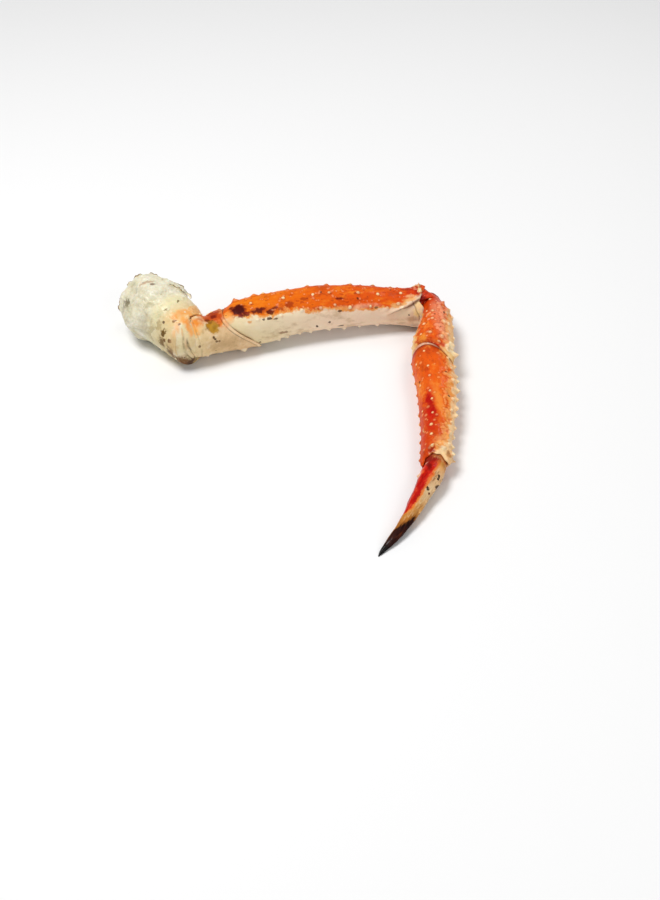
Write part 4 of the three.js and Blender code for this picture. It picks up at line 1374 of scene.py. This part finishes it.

# %% [markdown]
# ## Paint the hip
#
# The ischium carries a mustard spot where the legs rubbed together, set in dark red. The coxa is
# cream, with loose orange strokes and some brown dirt along its seam with the shoulder. Both pieces
# are painted browner towards the table as painted shade, and the coxa's lower outline gets a thin
# brown line of dirt and painted shadow.

# %% Ischium colours
ischium_stains = [
    ((-87.0, 90.5, 41.0), (6.0, 6.5, 6.0), "eeb46c", 0.75, 0.7, 0.6),
    ((-85.4, 94.5, 43.0), (6.6, 5.6, 5.0), "e28426", 0.9, 0.7, 0.7),
    ((-88.0, 88.0, 38.6), (3.6, 5.0, 5.0), "eca048", 0.75, 0.9, 0.5),
    ((-73.0, 100.0, 41.0), (10.0, 6.0, 5.0), "b8481a", 0.8, 0.8, 0.6),
    ((-69.0, 106.0, 41.5), (7.0, 7.0, 5.0), "9a300c", 0.8, 0.8, 0.45),
    ((-66.0, 98.5, 42.0), (6.0, 5.0, 4.0), "c6521a", 0.75, 0.8, 0.5),
    ((-64.4, 94.0, 40.0), (2.6, 4.6, 5.0), "da6c22", 0.8, 0.7, 0.6),
    ((-68.0, 101.0, 42.4), (4.0, 2.6, 3.0), "6e1004", 0.85, 1.0, 0.3),
    ((-63.8, 100.2, 42.6), (3.0, 3.0, 3.0), "c44a10", 0.8, 0.9, 0.4),
    ((-75.0, 98.0, 41.6), (3.0, 2.0, 2.4), "5e2408", 0.8, 1.0, 0.3),
    ((-71.8, 92.2, 38.2), (6.8, 6.0, 6.9), "704a18", 0.88, 0.6, 0.3),
    ((-71.8, 93.2, 39.0), (5.7, 4.7, 5.3), "ae7a1c", 0.95, 0.4, 0.25),
    ((-70.4, 90.3, 36.5), (5.5, 4.5, 5.2), "b8862a", 0.9, 0.4, 0.25),
    ((-69.6, 91.6, 37.6), (2.4, 2.6, 3.0), "8a6418", 0.6, 0.9, 0.4),
    ((-73.6, 95.6, 40.4), (3.0, 1.6, 2.0), "6e4212", 0.6, 1.0, 0.4),
    ((-71.4, 85.0, 30.9), (1.3, 1.1, 1.5), "3e2010", 0.9, 0.6, 0.2),
    ((-70.3, 84.4, 29.2), (1.3, 1.1, 1.4), "3e2010", 0.9, 0.6, 0.2),
    ((-69.1, 83.9, 27.0), (1.4, 1.1, 1.5), "45240f", 0.9, 0.6, 0.2),
    ((-66.7, 84.3, 26.8), (1.5, 1.0, 1.2), "5e3818", 0.85, 0.8, 0.25),
    ((-58.5, 92.6, 38.9), (3.0, 4.0, 4.0), "e6a070", 0.6, 0.8, 0.5),
    # Painted shade: the lower side of the ischium is browner.
    ((-62.0, 84.0, 22.0), (16.0, 5.0, 7.0), "b08c5c", 0.45, 1.0, 0.7),
    ((-85.0, 80.1, 26.5), (1.4, 1.2, 1.4), "6a4424", 0.8, 0.9, 0.2)]
ischium_paint = shell_material(
    "ischium shell paint",
    [(0.0, "e2a45c"), (0.3, "d8763a"), (0.6, "c05216"), (0.85, "ce5a16"), (1.0, "d47a3c")],
    [(0.0, "e2cb9a"), (0.5, "debd8e"), (1.0, "e2be90")],
    ischium_stains, dull=((-71.4, 92.6, 38.6), (10.0, 9.0, 9.0)), cream_drift=0.6, cream_dark="b08f60",
    border_soft=2.8, dirt="54260e", pale="f0d0a4")
dress(ischium, ischium_paint)

# %% Coxa colours, on the coxa and on the hard skin at its edge
coxa_stains = [
    ((-98.0, 100.0, 47.5), (13.0, 9.0, 6.0), "efc283", 0.75, 0.7, 0.7),
    ((-103.9, 100.1, 47.9), (3.4, 2.6, 3.0), "e89a48", 0.8, 0.8, 0.5),
    ((-99.0, 103.2, 49.2), (5.6, 2.8, 3.4), "e89846", 0.65, 0.7, 0.7),
    ((-93.1, 105.4, 48.4), (5.4, 3.4, 3.6), "e99a48", 0.65, 0.7, 0.7),
    ((-89.8, 102.2, 47.0), (2.6, 3.4, 3.0), "eca050", 0.8, 0.8, 0.5),
    ((-96.7, 96.3, 46.7), (3.0, 5.4, 3.6), "ec9c46", 0.75, 0.7, 0.75),
    ((-93.5, 92.4, 45.0), (2.8, 5.4, 4.6), "e88c34", 0.85, 0.7, 0.7),
    ((-91.6, 87.0, 40.4), (2.2, 4.6, 5.4), "ea9846", 0.8, 0.7, 0.7),
    ((-103.2, 91.4, 43.6), (2.2, 5.2, 5.2), "e8a460", 0.75, 0.7, 0.7),
    ((-106.6, 87.3, 39.3), (1.6, 3.4, 5.0), "ecba84", 0.7, 0.9, 0.5),
    ((-99.2, 86.4, 41.3), (1.2, 4.0, 5.0), "d9a46a", 0.6, 0.8, 0.5),
    # Painted shade: the underside of the hip darkens towards the table.
    ((-97.0, 80.0, 7.0), (9.0, 9.0, 8.0), "4c260c", 0.95, 0.5, 0.5),
    ((-90.0, 83.6, 8.4), (8.0, 7.0, 7.0), "46240c", 0.9, 0.5, 0.5),
    ((-104.0, 80.0, 12.0), (7.0, 6.0, 7.0), "7c4c20", 0.8, 0.6, 0.6),
    ((-97.4, 80.6, 32.0), (1.2, 3.4, 8.0), "c08c60", 0.55, 0.7, 0.6),
    ((-90.6, 80.6, 24.0), (2.0, 3.0, 4.0), "ead9a8", 0.8, 0.6, 0.5),
    ((-96.6, 81.9, 35.8), (2.6, 5.0, 7.0), "ecd9b0", 0.5, 0.7, 0.6),
    ((-116.3, 94.0, 36.3), (2.8, 3.0, 3.6), "62420f", 0.95, 1.3, 0.25),
    ((-111.6, 86.2, 32.5), (2.4, 1.8, 2.2), "5a2c10", 0.9, 1.3, 0.25),
    ((-115.9, 90.1, 29.9), (1.6, 1.5, 1.8), "75491f", 0.85, 1.0, 0.2),
    ((-105.4, 96.8, 46.0), (2.4, 1.2, 1.4), "7c4c1c", 0.8, 1.4, 0.3),
    ((-100.6, 92.6, 44.9), (2.6, 1.2, 1.4), "744014", 0.8, 1.4, 0.3),
    # A thin brown line along the lower outline: dirt, and a painted shadow where the shell meets the table.
    ((-118.8, 92.9, 26.0), (5.0, 4.6, 6.4), "6e4c1e", 0.85, 1.3, 0.35),
    ((-112.2, 84.6, 20.0), (6.0, 4.0, 6.0), "643e18", 0.85, 1.2, 0.4),
    ((-105.0, 79.6, 14.5), (7.0, 4.0, 4.6), "6e4a22", 0.7, 1.0, 0.5),
    ((-119.0, 101.0, 40.0), (3.4, 5.0, 6.0), "9c8450", 0.55, 1.4, 0.4),
    ((-108.0, 84.0, 30.0), (4.0, 5.0, 9.0), "c8a472", 0.6, 0.8, 0.7)]
coxa_paint = shell_material(
    "coxa shell paint", [(0.0, "e4cba4"), (0.5, "e6c08a"), (1.0, "e6b06c")],
    [(0.0, "dcd4b4"), (0.3, "dccda2"), (0.6, "d9c494"), (1.0, "dac090")],
    coxa_stains, speck_chance=0.12, orange_dark="d08840", orange_light="f2d09c", cream_dark="b89d6a",
    tip="dcc294", tip_top="dec898", flush=0.1, grain_share=0.2, dirt="4a2a10")
dress(coxa, coxa_paint)
dress(coxa_skin, coxa_paint)

# %% [markdown]
# ## Paint the lower leg
#
# The carpus and the propodus are orange with pale pinkish grains. The knee end of the carpus is dark
# red, and a clear red streak runs down the middle of the propodus.

# %% Carpus colours
carpus_stains = [
    ((136.0, 103.0, 30.0), (9.0, 10.0, 7.0), "c8380a", 0.8, 0.6, 0.5),
    ((131.0, 103.5, 30.0), (5.0, 5.0, 5.0), "7a0804", 0.9, 0.7, 0.4),
    ((126.0, 99.0, 17.0), (3.0, 8.0, 4.0), "e2c294", 0.85, 0.6, 0.3),
    ((136.0, 62.0, 34.0), (6.0, 22.0, 4.4), "f0a078", 0.45, 0.15, 0.9),
    ((138.0, 84.0, 33.5), (5.0, 10.0, 4.4), "f0a47c", 0.4, 0.15, 0.9),
    ((116.0, 48.0, 29.0), (5.0, 7.0, 5.0), "ee9a34", 0.65, 0.8, 0.6),
    ((129.0, 33.0, 33.0), (4.6, 4.0, 4.0), "cc2c08", 0.8, 0.8, 0.4)]
carpus_paint = shell_material(
    "carpus shell paint",
    [(0.0, "c02c0a"), (0.15, "d84a0a"), (0.6, "e0580a"), (0.92, "dc520c"), (0.97, "c8440c"), (1.0, "a8300a")],
    [(0.0, "e4a468"), (0.5, "eab074"), (1.0, "ecc486")],
    carpus_stains, stretch=(1, 0.6, 1), grain_colour="f2a67e", grain_share=0.6, border_soft=3.2,
    cream_dark="d08c48", cream_drift=0.6, cream_light="f4dfb8", tip="eeaa70", tip_top="f6d8aa",
    border="eca458")
dress(carpus, carpus_paint)

# %% Propodus colours
propodus_stains = [
    ((106.0, -19.0, 28.0), (5.0, 7.0, 7.0), "d42c06", 0.75, 0.7, 0.6),
    ((103.0, -29.0, 27.0), (7.6, 9.0, 7.0), "c20a00", 0.95, 0.6, 0.5),
    ((99.4, -44.0, 25.8), (7.6, 10.0, 7.0), "c20a00", 0.95, 0.6, 0.5),
    ((95.3, -58.0, 24.6), (5.0, 9.0, 7.0), "c61c02", 0.8, 0.7, 0.6),
    ((101.4, -36.0, 26.6), (2.8, 17.0, 6.0), "a40400", 0.7, 0.8, 0.5),
    ((93.5, -42.0, 19.5), (5.0, 26.0, 6.0), "c62e06", 0.7, 0.7, 0.6),
    ((88.0, -66.0, 18.0), (6.0, 20.0, 8.0), "c83404", 0.75, 0.7, 0.6),
    ((108.4, -3.0, 28.4), (4.0, 10.0, 5.0), "d8440c", 0.6, 0.9, 0.5),
    # A painted highlight: a long yellow-orange streak along the upper side of the shell.
    ((109.0, -34.0, 28.2), (4.0, 24.0, 5.0), "f0963a", 0.6, 0.8, 0.6),
    ((99.0, -78.0, 25.0), (6.0, 6.0, 5.0), "ecaa62", 0.5, 1.0, 0.6),
    ((89.5, -86.0, 23.6), (3.4, 4.0, 4.0), "8e1206", 0.85, 0.9, 0.4),
    ((102.8, -92.0, 20.6), (3.0, 3.4, 3.4), "b06a2c", 0.8, 0.9, 0.4),
    ((106.0, 39.0, 18.0), (3.6, 5.0, 5.0), "b22408", 0.85, 0.8, 0.4)]
propodus_paint = shell_material(
    "propodus shell paint",
    [(0.0, "a8300a"), (0.04, "cc4a0c"), (0.12, "e0580a"), (0.5, "e2620a"), (0.75, "d24a08"), (1.0, "ce440a")],
    [(0.0, "eebe88"), (0.5, "f3c894"), (1.0, "f1ca96")],
    propodus_stains, stretch=(1, 0.6, 1), grain_colour="f0a868", border_soft=4.4, cream_dark="e09c5c",
    cream_drift=0.6, cream_light="f2dcb0", tip="ecae6a", tip_top="f6deb2", border="ea9640")
dress(propodus, propodus_paint)

# %% [markdown]
# ## Paint the claw
#
# The claw is tan with a clear red stripe down its inner side, which goes on under the claw. Its last
# third is dark horn, and the horn starts further down on the inside than on the outside. The noise is
# turned to lie along the claw and drawn out, because horn grows in long fibres.

# %% The claw's tan and red
CLAW_HEADING = 131
CLAW_STRETCH = (0.22, 1.0, 1.0)
CLAW_STAINS = [
    ((76.6, -103.6, 15.6), (2.6, 4.0, 3.6), "e05a1c", 0.85, 0.8, 0.4),
    ((75.0, -103.0, 12.6), (3.0, 6.4, 3.6), "eec09c", 0.9, 0.7, 0.4),
    ((83.0, -94.4, 17.0), (2.6, 3.0, 3.0), "eebba0", 0.8, 0.9, 0.35),
    ((83.4, -100.4, 20.0), (2.4, 6.0, 3.0), "780400", 0.9, 0.8, 0.5),
    ((89.4, -112.0, 17.2), (1.4, 1.8, 1.5), "2a140a", 0.95, 0.8, 0.2),
    ((88.0, -114.2, 16.4), (1.5, 1.8, 1.5), "2a140a", 0.95, 0.8, 0.2),
    ((85.7, -119.6, 12.4), (2.0, 2.8, 2.4), "3a1c0c", 0.9, 0.9, 0.25),
    ((77.3, -122.8, 15.6), (1.7, 1.6, 1.5), "2a140a", 0.95, 0.9, 0.2),
    ((77.4, -126.0, 13.5), (1.1, 1.3, 1.2), "5a1c0c", 0.95, 0.8, 0.2)]


def claw_ground(board, place, drawn_out, share):
    """Tan with a red stripe, and an orange band where they meet."""
    tan = use_group(board, "Uneven colour", {
        "Place": drawn_out, "Scale": 190.0, "Colour": along_colours(
            board, share, [(0.0, "e09a44"), (0.1, "dcb080"), (0.3, "d6b488"), (0.45, "cc9656"),
                           (0.6, "b8762c"), (1.0, "7c4418")]),
        "Darker": colour("946030"), "Lighter": colour("e6cca0"), "Amount": 0.85})["Colour"]
    red = use_group(board, "Uneven colour", {
        "Place": drawn_out, "Scale": 170.0, "Colour": along_colours(
            board, share, [(0.0, "96140a"), (0.08, "c41804"), (0.3, "b00602"), (0.5, "b81604"),
                           (1.0, "6c1c06")]),
        "Darker": colour("7a0200"), "Lighter": colour("e0502c"), "Amount": 0.9})["Colour"]
    wander = board.math("MULTIPLY", board.wander(place, 200.0, 4.0, 0.6), 6.5)
    stripe = board.fade(board.math("ADD", board.mark("tone"), wander), -1.8, 1.8)
    base = board.blend(stripe, tan, red)
    return board.blend(board.edge(stripe, 3.0), base, colour("df7a24"))


# %% The claw's dark horn
def claw_horn(board, base, drawn_out, share, round_way):
    """The horn starts with a singed edge, has a painted brown highlight along one side, and ends black."""
    turn = board.math("COSINE", board.math("MULTIPLY", round_way, math.pi))
    horn_start = board.math("SUBTRACT", 0.7, board.math("MULTIPLY", turn, 0.13))
    streaky = board.math("MULTIPLY", board.wander(drawn_out, 420.0, 3.0), 0.22)
    depth = board.math("ADD", board.math("SUBTRACT", share, horn_start), streaky)
    horn = use_group(board, "Uneven colour", {
        "Place": drawn_out, "Scale": 190.0, "Colour": colour("280a05"), "Darker": colour("0c0301"),
        "Lighter": colour("5e280e"), "Amount": 0.8})["Colour"]
    # A painted highlight: a brown-orange streak along one side of the horn, short of the black point.
    from_painted_highlight = board.math("ABSOLUTE", board.math("SUBTRACT", round_way, 0.72))
    painted_highlight = board.math("MULTIPLY", board.fade(from_painted_highlight, 0.14, 0.03), board.fade(share, 0.9, 0.8))
    horn = board.tint(horn, painted_highlight, 0.8, "8c5424")
    point = board.blend(board.fade(share, 0.86, 0.92), horn, colour("040101"))
    base = board.tint(base, board.fade(depth, -0.1, 0.0), 0.6, "8e5018")
    return board.blend(board.fade(depth, -0.03, 0.03), base, point)


# %% The claw's material
def claw_material():
    material, board, shader, place = start_material(
        "claw paint", subsurface=0.04, glow=SHELL_GLOW, coat=0.15, coat_roughness=0.1)
    share, round_way = board.mark("along"), board.mark("round")
    turned = board.add("ShaderNodeVectorRotate", {"Vector": place, "Angle": math.radians(CLAW_HEADING)},
                       rotation_type="Z_AXIS").outputs[0]
    drawn_out = board.vector("MULTIPLY", turned, CLAW_STRETCH).outputs[0]
    base = claw_ground(board, place, drawn_out, share)
    base = paint_stains(board, place, base, CLAW_STAINS)
    specks = use_group(board, "Dark specks", {"Place": place, "Scale": 260.0, "Size": 0.34,
                                              "Chance": 0.16})["Mask"]
    outer = board.fade(round_way, 0.45, 0.3)
    base = board.blend(board.math("MULTIPLY", specks, outer), base, colour("2c180c"))
    base = claw_horn(board, base, drawn_out, share, round_way)
    base = board.tint(base, board.fade(board.mark("tip"), 0.3, 0.6), 0.5, "e8c48c")
    base = board.tint(base, board.mark("crease"), 0.6, "5c1006")
    board.wire(base, shader.inputs["Base Color"])
    rough = board.math("ADD", board.math("MULTIPLY", board.noise(drawn_out, 150.0), 0.25), 0.2)
    board.wire(rough, shader.inputs["Roughness"])
    height = use_group(board, "Shell relief", {"Place": place, "Scale": 380.0, "Pits": 0.3})["Height"]
    bump_surface(board, shader, height, 0.5, 0.0006)
    return material


dress(dactyl, claw_material())

# %% [markdown]
# ## Paint the soft parts
#
# Meat and skin are pale, moist and a little translucent, so more light goes under the surface here than
# in the shell. Creases and hollows are painted darker, as painted shade, and the torn edges of the film
# have dried to a greyish brown.

# %% The recipe for skin and meat
def soft_material(title, base_code, dark, light, crease_code, crease_share, stains=(), end_code=None):
    """Where end_code is given, the skin takes that colour at its far end."""
    material, board, shader, place = start_material(
        title, subsurface=0.3, glow=SKIN_GLOW, coat=0.3, coat_roughness=0.2)
    base = use_group(board, "Uneven colour", {
        "Place": place, "Scale": 90.0, "Colour": colour(base_code), "Darker": colour(dark),
        "Lighter": colour(light), "Amount": 0.8})["Colour"]
    if end_code:
        share = board.mark("along")
        ragged_share = board.math("ADD", share, board.math("MULTIPLY", board.noise(place, 110.0), 0.4))
        base = board.blend(board.fade(ragged_share, 1.02, 1.3), base, colour(end_code))
    base = paint_stains(board, place, base, stains)
    fine = use_group(board, "Skin creases", {"Place": place, "Scale": 120.0, "Sharpness": 9.0})
    base = board.tint(base, fine["Lines"], 0.12, crease_code)
    # Creases and hollows are darkened: painted shade, with the darker lines of the skin's folds.
    base = board.tint(base, board.mark("crease"), crease_share, crease_code)
    base = board.tint(base, board.mark("film"), 0.12, "a58c66")
    specks = use_group(board, "Dark specks", {"Place": place, "Scale": 230.0, "Size": 0.22,
                                              "Chance": 0.04})["Mask"]
    base = board.tint(base, specks, 0.6, "7a5c38")
    board.wire(base, shader.inputs["Base Color"])
    rough = board.math("ADD", board.math("MULTIPLY", board.noise(place, 120.0), 0.3), 0.3)
    board.wire(rough, shader.inputs["Roughness"])
    bump_surface(board, shader, fine["Height"], 0.7, 0.0016)
    return material


# %% Shoulder colours
shoulder_stains = [
    ((-144.8, 137.3, 42.2), (3.0, 3.6, 4.4), "5a503c", 0.9, 1.1, 0.3),
    ((-147.5, 135.5, 38.0), (4.6, 6.0, 8.0), "a19880", 0.7, 0.9, 0.6),
    ((-125.0, 141.8, 58.4), (8.0, 1.8, 3.0), "b58c70", 0.7, 1.0, 0.4),
    ((-119.0, 137.6, 59.6), (2.6, 1.6, 2.0), "6e4a38", 0.8, 1.0, 0.3),
    ((-98.7, 130.9, 54.7), (3.4, 2.2, 3.0), "8c7040", 0.6, 1.0, 0.4),
    ((-131.0, 112.0, 34.0), (7.0, 6.0, 10.0), "c4baa0", 0.6, 1.0, 0.6),
    ((-126.0, 104.0, 30.0), (6.0, 7.0, 10.0), "b09c70", 0.6, 1.1, 0.5),
    ((-98.2, 116.7, 52.4), (1.8, 2.4, 2.4), "6c5a20", 0.95, 0.7, 0.25),
    ((-114.9, 114.2, 52.6), (1.4, 1.2, 1.4), "8c7c4c", 0.7, 1.1, 0.4),
    ((-111.0, 109.3, 50.4), (1.8, 1.3, 1.6), "83683a", 0.85, 0.9, 0.3),
    ((-110.7, 105.8, 49.1), (1.4, 1.2, 1.4), "7c6c40", 0.75, 1.1, 0.4),
    ((-112.8, 102.1, 46.3), (1.8, 2.4, 3.0), "8e7030", 0.75, 1.5, 0.4),
    ((-120.0, 118.0, 50.0), (9.0, 8.0, 6.0), "e6dcb4", 0.4, 0.9, 0.7),
    ((-101.0, 131.0, 55.4), (6.0, 4.0, 4.0), "f6f0dc", 0.75, 0.7, 0.5),
    ((-94.6, 127.6, 52.0), (4.6, 3.6, 4.0), "f4edd4", 0.75, 0.7, 0.5)]
# Its crease colour is painted shade in the hollows.
shoulder_paint = soft_material("shoulder skin paint", "e0dac0", "c8c09a", "f4f0e0", "a2976c", 0.35,
                               shoulder_stains, end_code="e4dab0")
dress(shoulder, shoulder_paint)

# %% Joint skins
collar_paint = soft_material("collar skin paint", "8e4c20", "6a2c10", "b87844", "4c1a0a", 0.7)
knee_paint = soft_material("knee skin paint", "d83c08", "a01c04", "ee7034", "6a0c04", 0.5, [
    ((128.0, 101.5, 31.5), (5.0, 5.0, 5.0), "780402", 0.9, 0.7, 0.4),
    ((124.0, 96.0, 22.0), (7.0, 9.0, 8.0), "e0c494", 0.95, 0.5, 0.3)])
ankle_paint = soft_material("ankle skin paint", "dca080", "b46846", "f2d2b8", "8c2008", 0.9)
claw_skin_paint = soft_material("claw skin paint", "d88440", "a8501c", "eab070", "6c1404", 0.6, [
    ((84.0, -93.0, 18.0), (10.5, 9.0, 8.0), "8a0a02", 0.97, 0.6, 0.35)])
dress(ischium_skin, collar_paint)
dress(knee_skin, knee_paint)
dress(carpus_skin, ankle_paint)
dress(dactyl_skin, claw_skin_paint)

# %% Dried film
def film_material():
    material, board, shader, place = start_material(
        "dried film paint", subsurface=0.3, glow=SKIN_GLOW, coat=0.2, coat_roughness=0.3)
    out = board.mark("out")
    body = use_group(board, "Uneven colour", {
        "Place": place, "Scale": 140.0, "Colour": colour("e6dbc0"), "Darker": colour("c2b48e"),
        "Lighter": colour("f4ecda"), "Amount": 0.7})["Colour"]
    wander = board.math("MULTIPLY", board.wander(place, 240.0), 0.9)
    dry = board.fade(board.math("ADD", out, wander), 0.58, 0.92)
    board.wire(board.tint(body, dry, 0.9, "5c4a38"), shader.inputs["Base Color"])
    rough = board.math("ADD", board.math("MULTIPLY", dry, 0.3), 0.35)
    board.wire(rough, shader.inputs["Roughness"])
    fine = use_group(board, "Skin creases", {"Place": place, "Scale": 220.0, "Sharpness": 9.0})
    bump_surface(board, shader, fine["Height"], 0.5, 0.001)
    return material


dress(film, film_material())

# %% [markdown]
# ## The table, the light and the camera
#
# The leg lies on a plain pale table. Large area lights are soft, as in a light tent: one above and to
# the left as the key, a low one in front to fill, a small one behind on the right for glints on the wet
# shell, and a dim even world all round. The camera looks down at 45 degrees through a 50 mm lens from a
# little over a metre.

# %% Table
TABLE_HALF, TABLE_DROP = 4, 0.0002
floor_mesh = bpy.data.meshes.new("table")
floor_corners = [(x * TABLE_HALF, y * TABLE_HALF, 0) for x, y in ((-1, -1), (1, -1), (1, 1), (-1, 1))]
floor_mesh.from_pydata(floor_corners, [], [(0, 1, 2, 3)])
floor = bpy.data.objects.new("table", floor_mesh)
floor.location.z = -TABLE_DROP
bpy.context.scene.collection.objects.link(floor)
floor_paint = bpy.data.materials.new("table paint")
floor_paint.use_nodes = True
floor_shader = floor_paint.node_tree.nodes["Principled BSDF"]
floor_shader.inputs["Base Color"].default_value = (0.87, 0.87, 0.87, 1)
floor_shader.inputs["Roughness"].default_value = 0.85
floor.data.materials.append(floor_paint)
floor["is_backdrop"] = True
print("table:", 2 * TABLE_HALF, "m wide")

# %% Lights
def soft_light(title, place, target, size, power):
    lamp = bpy.data.lights.new(title, "AREA")
    lamp.shape, lamp.size, lamp.energy = "DISK", size, power
    made = bpy.data.objects.new(title, lamp)
    made.location = place
    made.rotation_euler = (Vector(target) - Vector(place)).to_track_quat("-Z", "Y").to_euler()
    bpy.context.scene.collection.objects.link(made)
    print(f"{title}: {power} watts, {size} m across")


soft_light("key light", (-0.6, 0.1, 1.7), (0, 0, 0), 0.8, 24)
soft_light("fill light", (0.6, -1.2, 1.0), (0, 0, 0), 1.0, 5)
soft_light("glint light", (0.7, 0.6, 0.9), (0, 0, 0), 0.4, 1.6)
world = bpy.data.worlds.new("even light")
world.use_nodes = True
world.node_tree.nodes["Background"].inputs["Color"].default_value = (1, 1, 1, 1)
world.node_tree.nodes["Background"].inputs["Strength"].default_value = 0.35
bpy.context.scene.world = world
bpy.context.scene.view_settings.view_transform = "Standard"

# %% Camera
lens = bpy.data.cameras.new("camera")
lens.lens, lens.sensor_fit, lens.sensor_height = 50, "VERTICAL", 36
camera = bpy.data.objects.new("camera", lens)
turn, rise, away = math.radians(-11.3), math.radians(45), 1.08
target = Vector((0.0101, -0.0474, 0.0))
camera.location = target + away * Vector((math.sin(turn) * math.cos(rise), -math.cos(turn) * math.cos(rise),
                                          math.sin(rise)))
camera.rotation_euler = (target - camera.location).to_track_quat("-Z", "Y").to_euler()
bpy.context.scene.collection.objects.link(camera)
bpy.context.scene.camera = camera
print("camera at", [round(v, 3) for v in camera.location])

# %% [markdown]
# ## The size, at the end
#
# Both boxes are printed: the measured solids' and the dressed leg's. The dressed leg has to fill
# the same box as the measured solids.

# %% Finish
boxes = {"cad": [list(corner) for corner in measured_box], "visual": [list(corner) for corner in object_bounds()]}
for title, (low, high) in boxes.items():
    print(title, [round(v * 1000, 1) for v in low], [round(v * 1000, 1) for v in high], "mm")
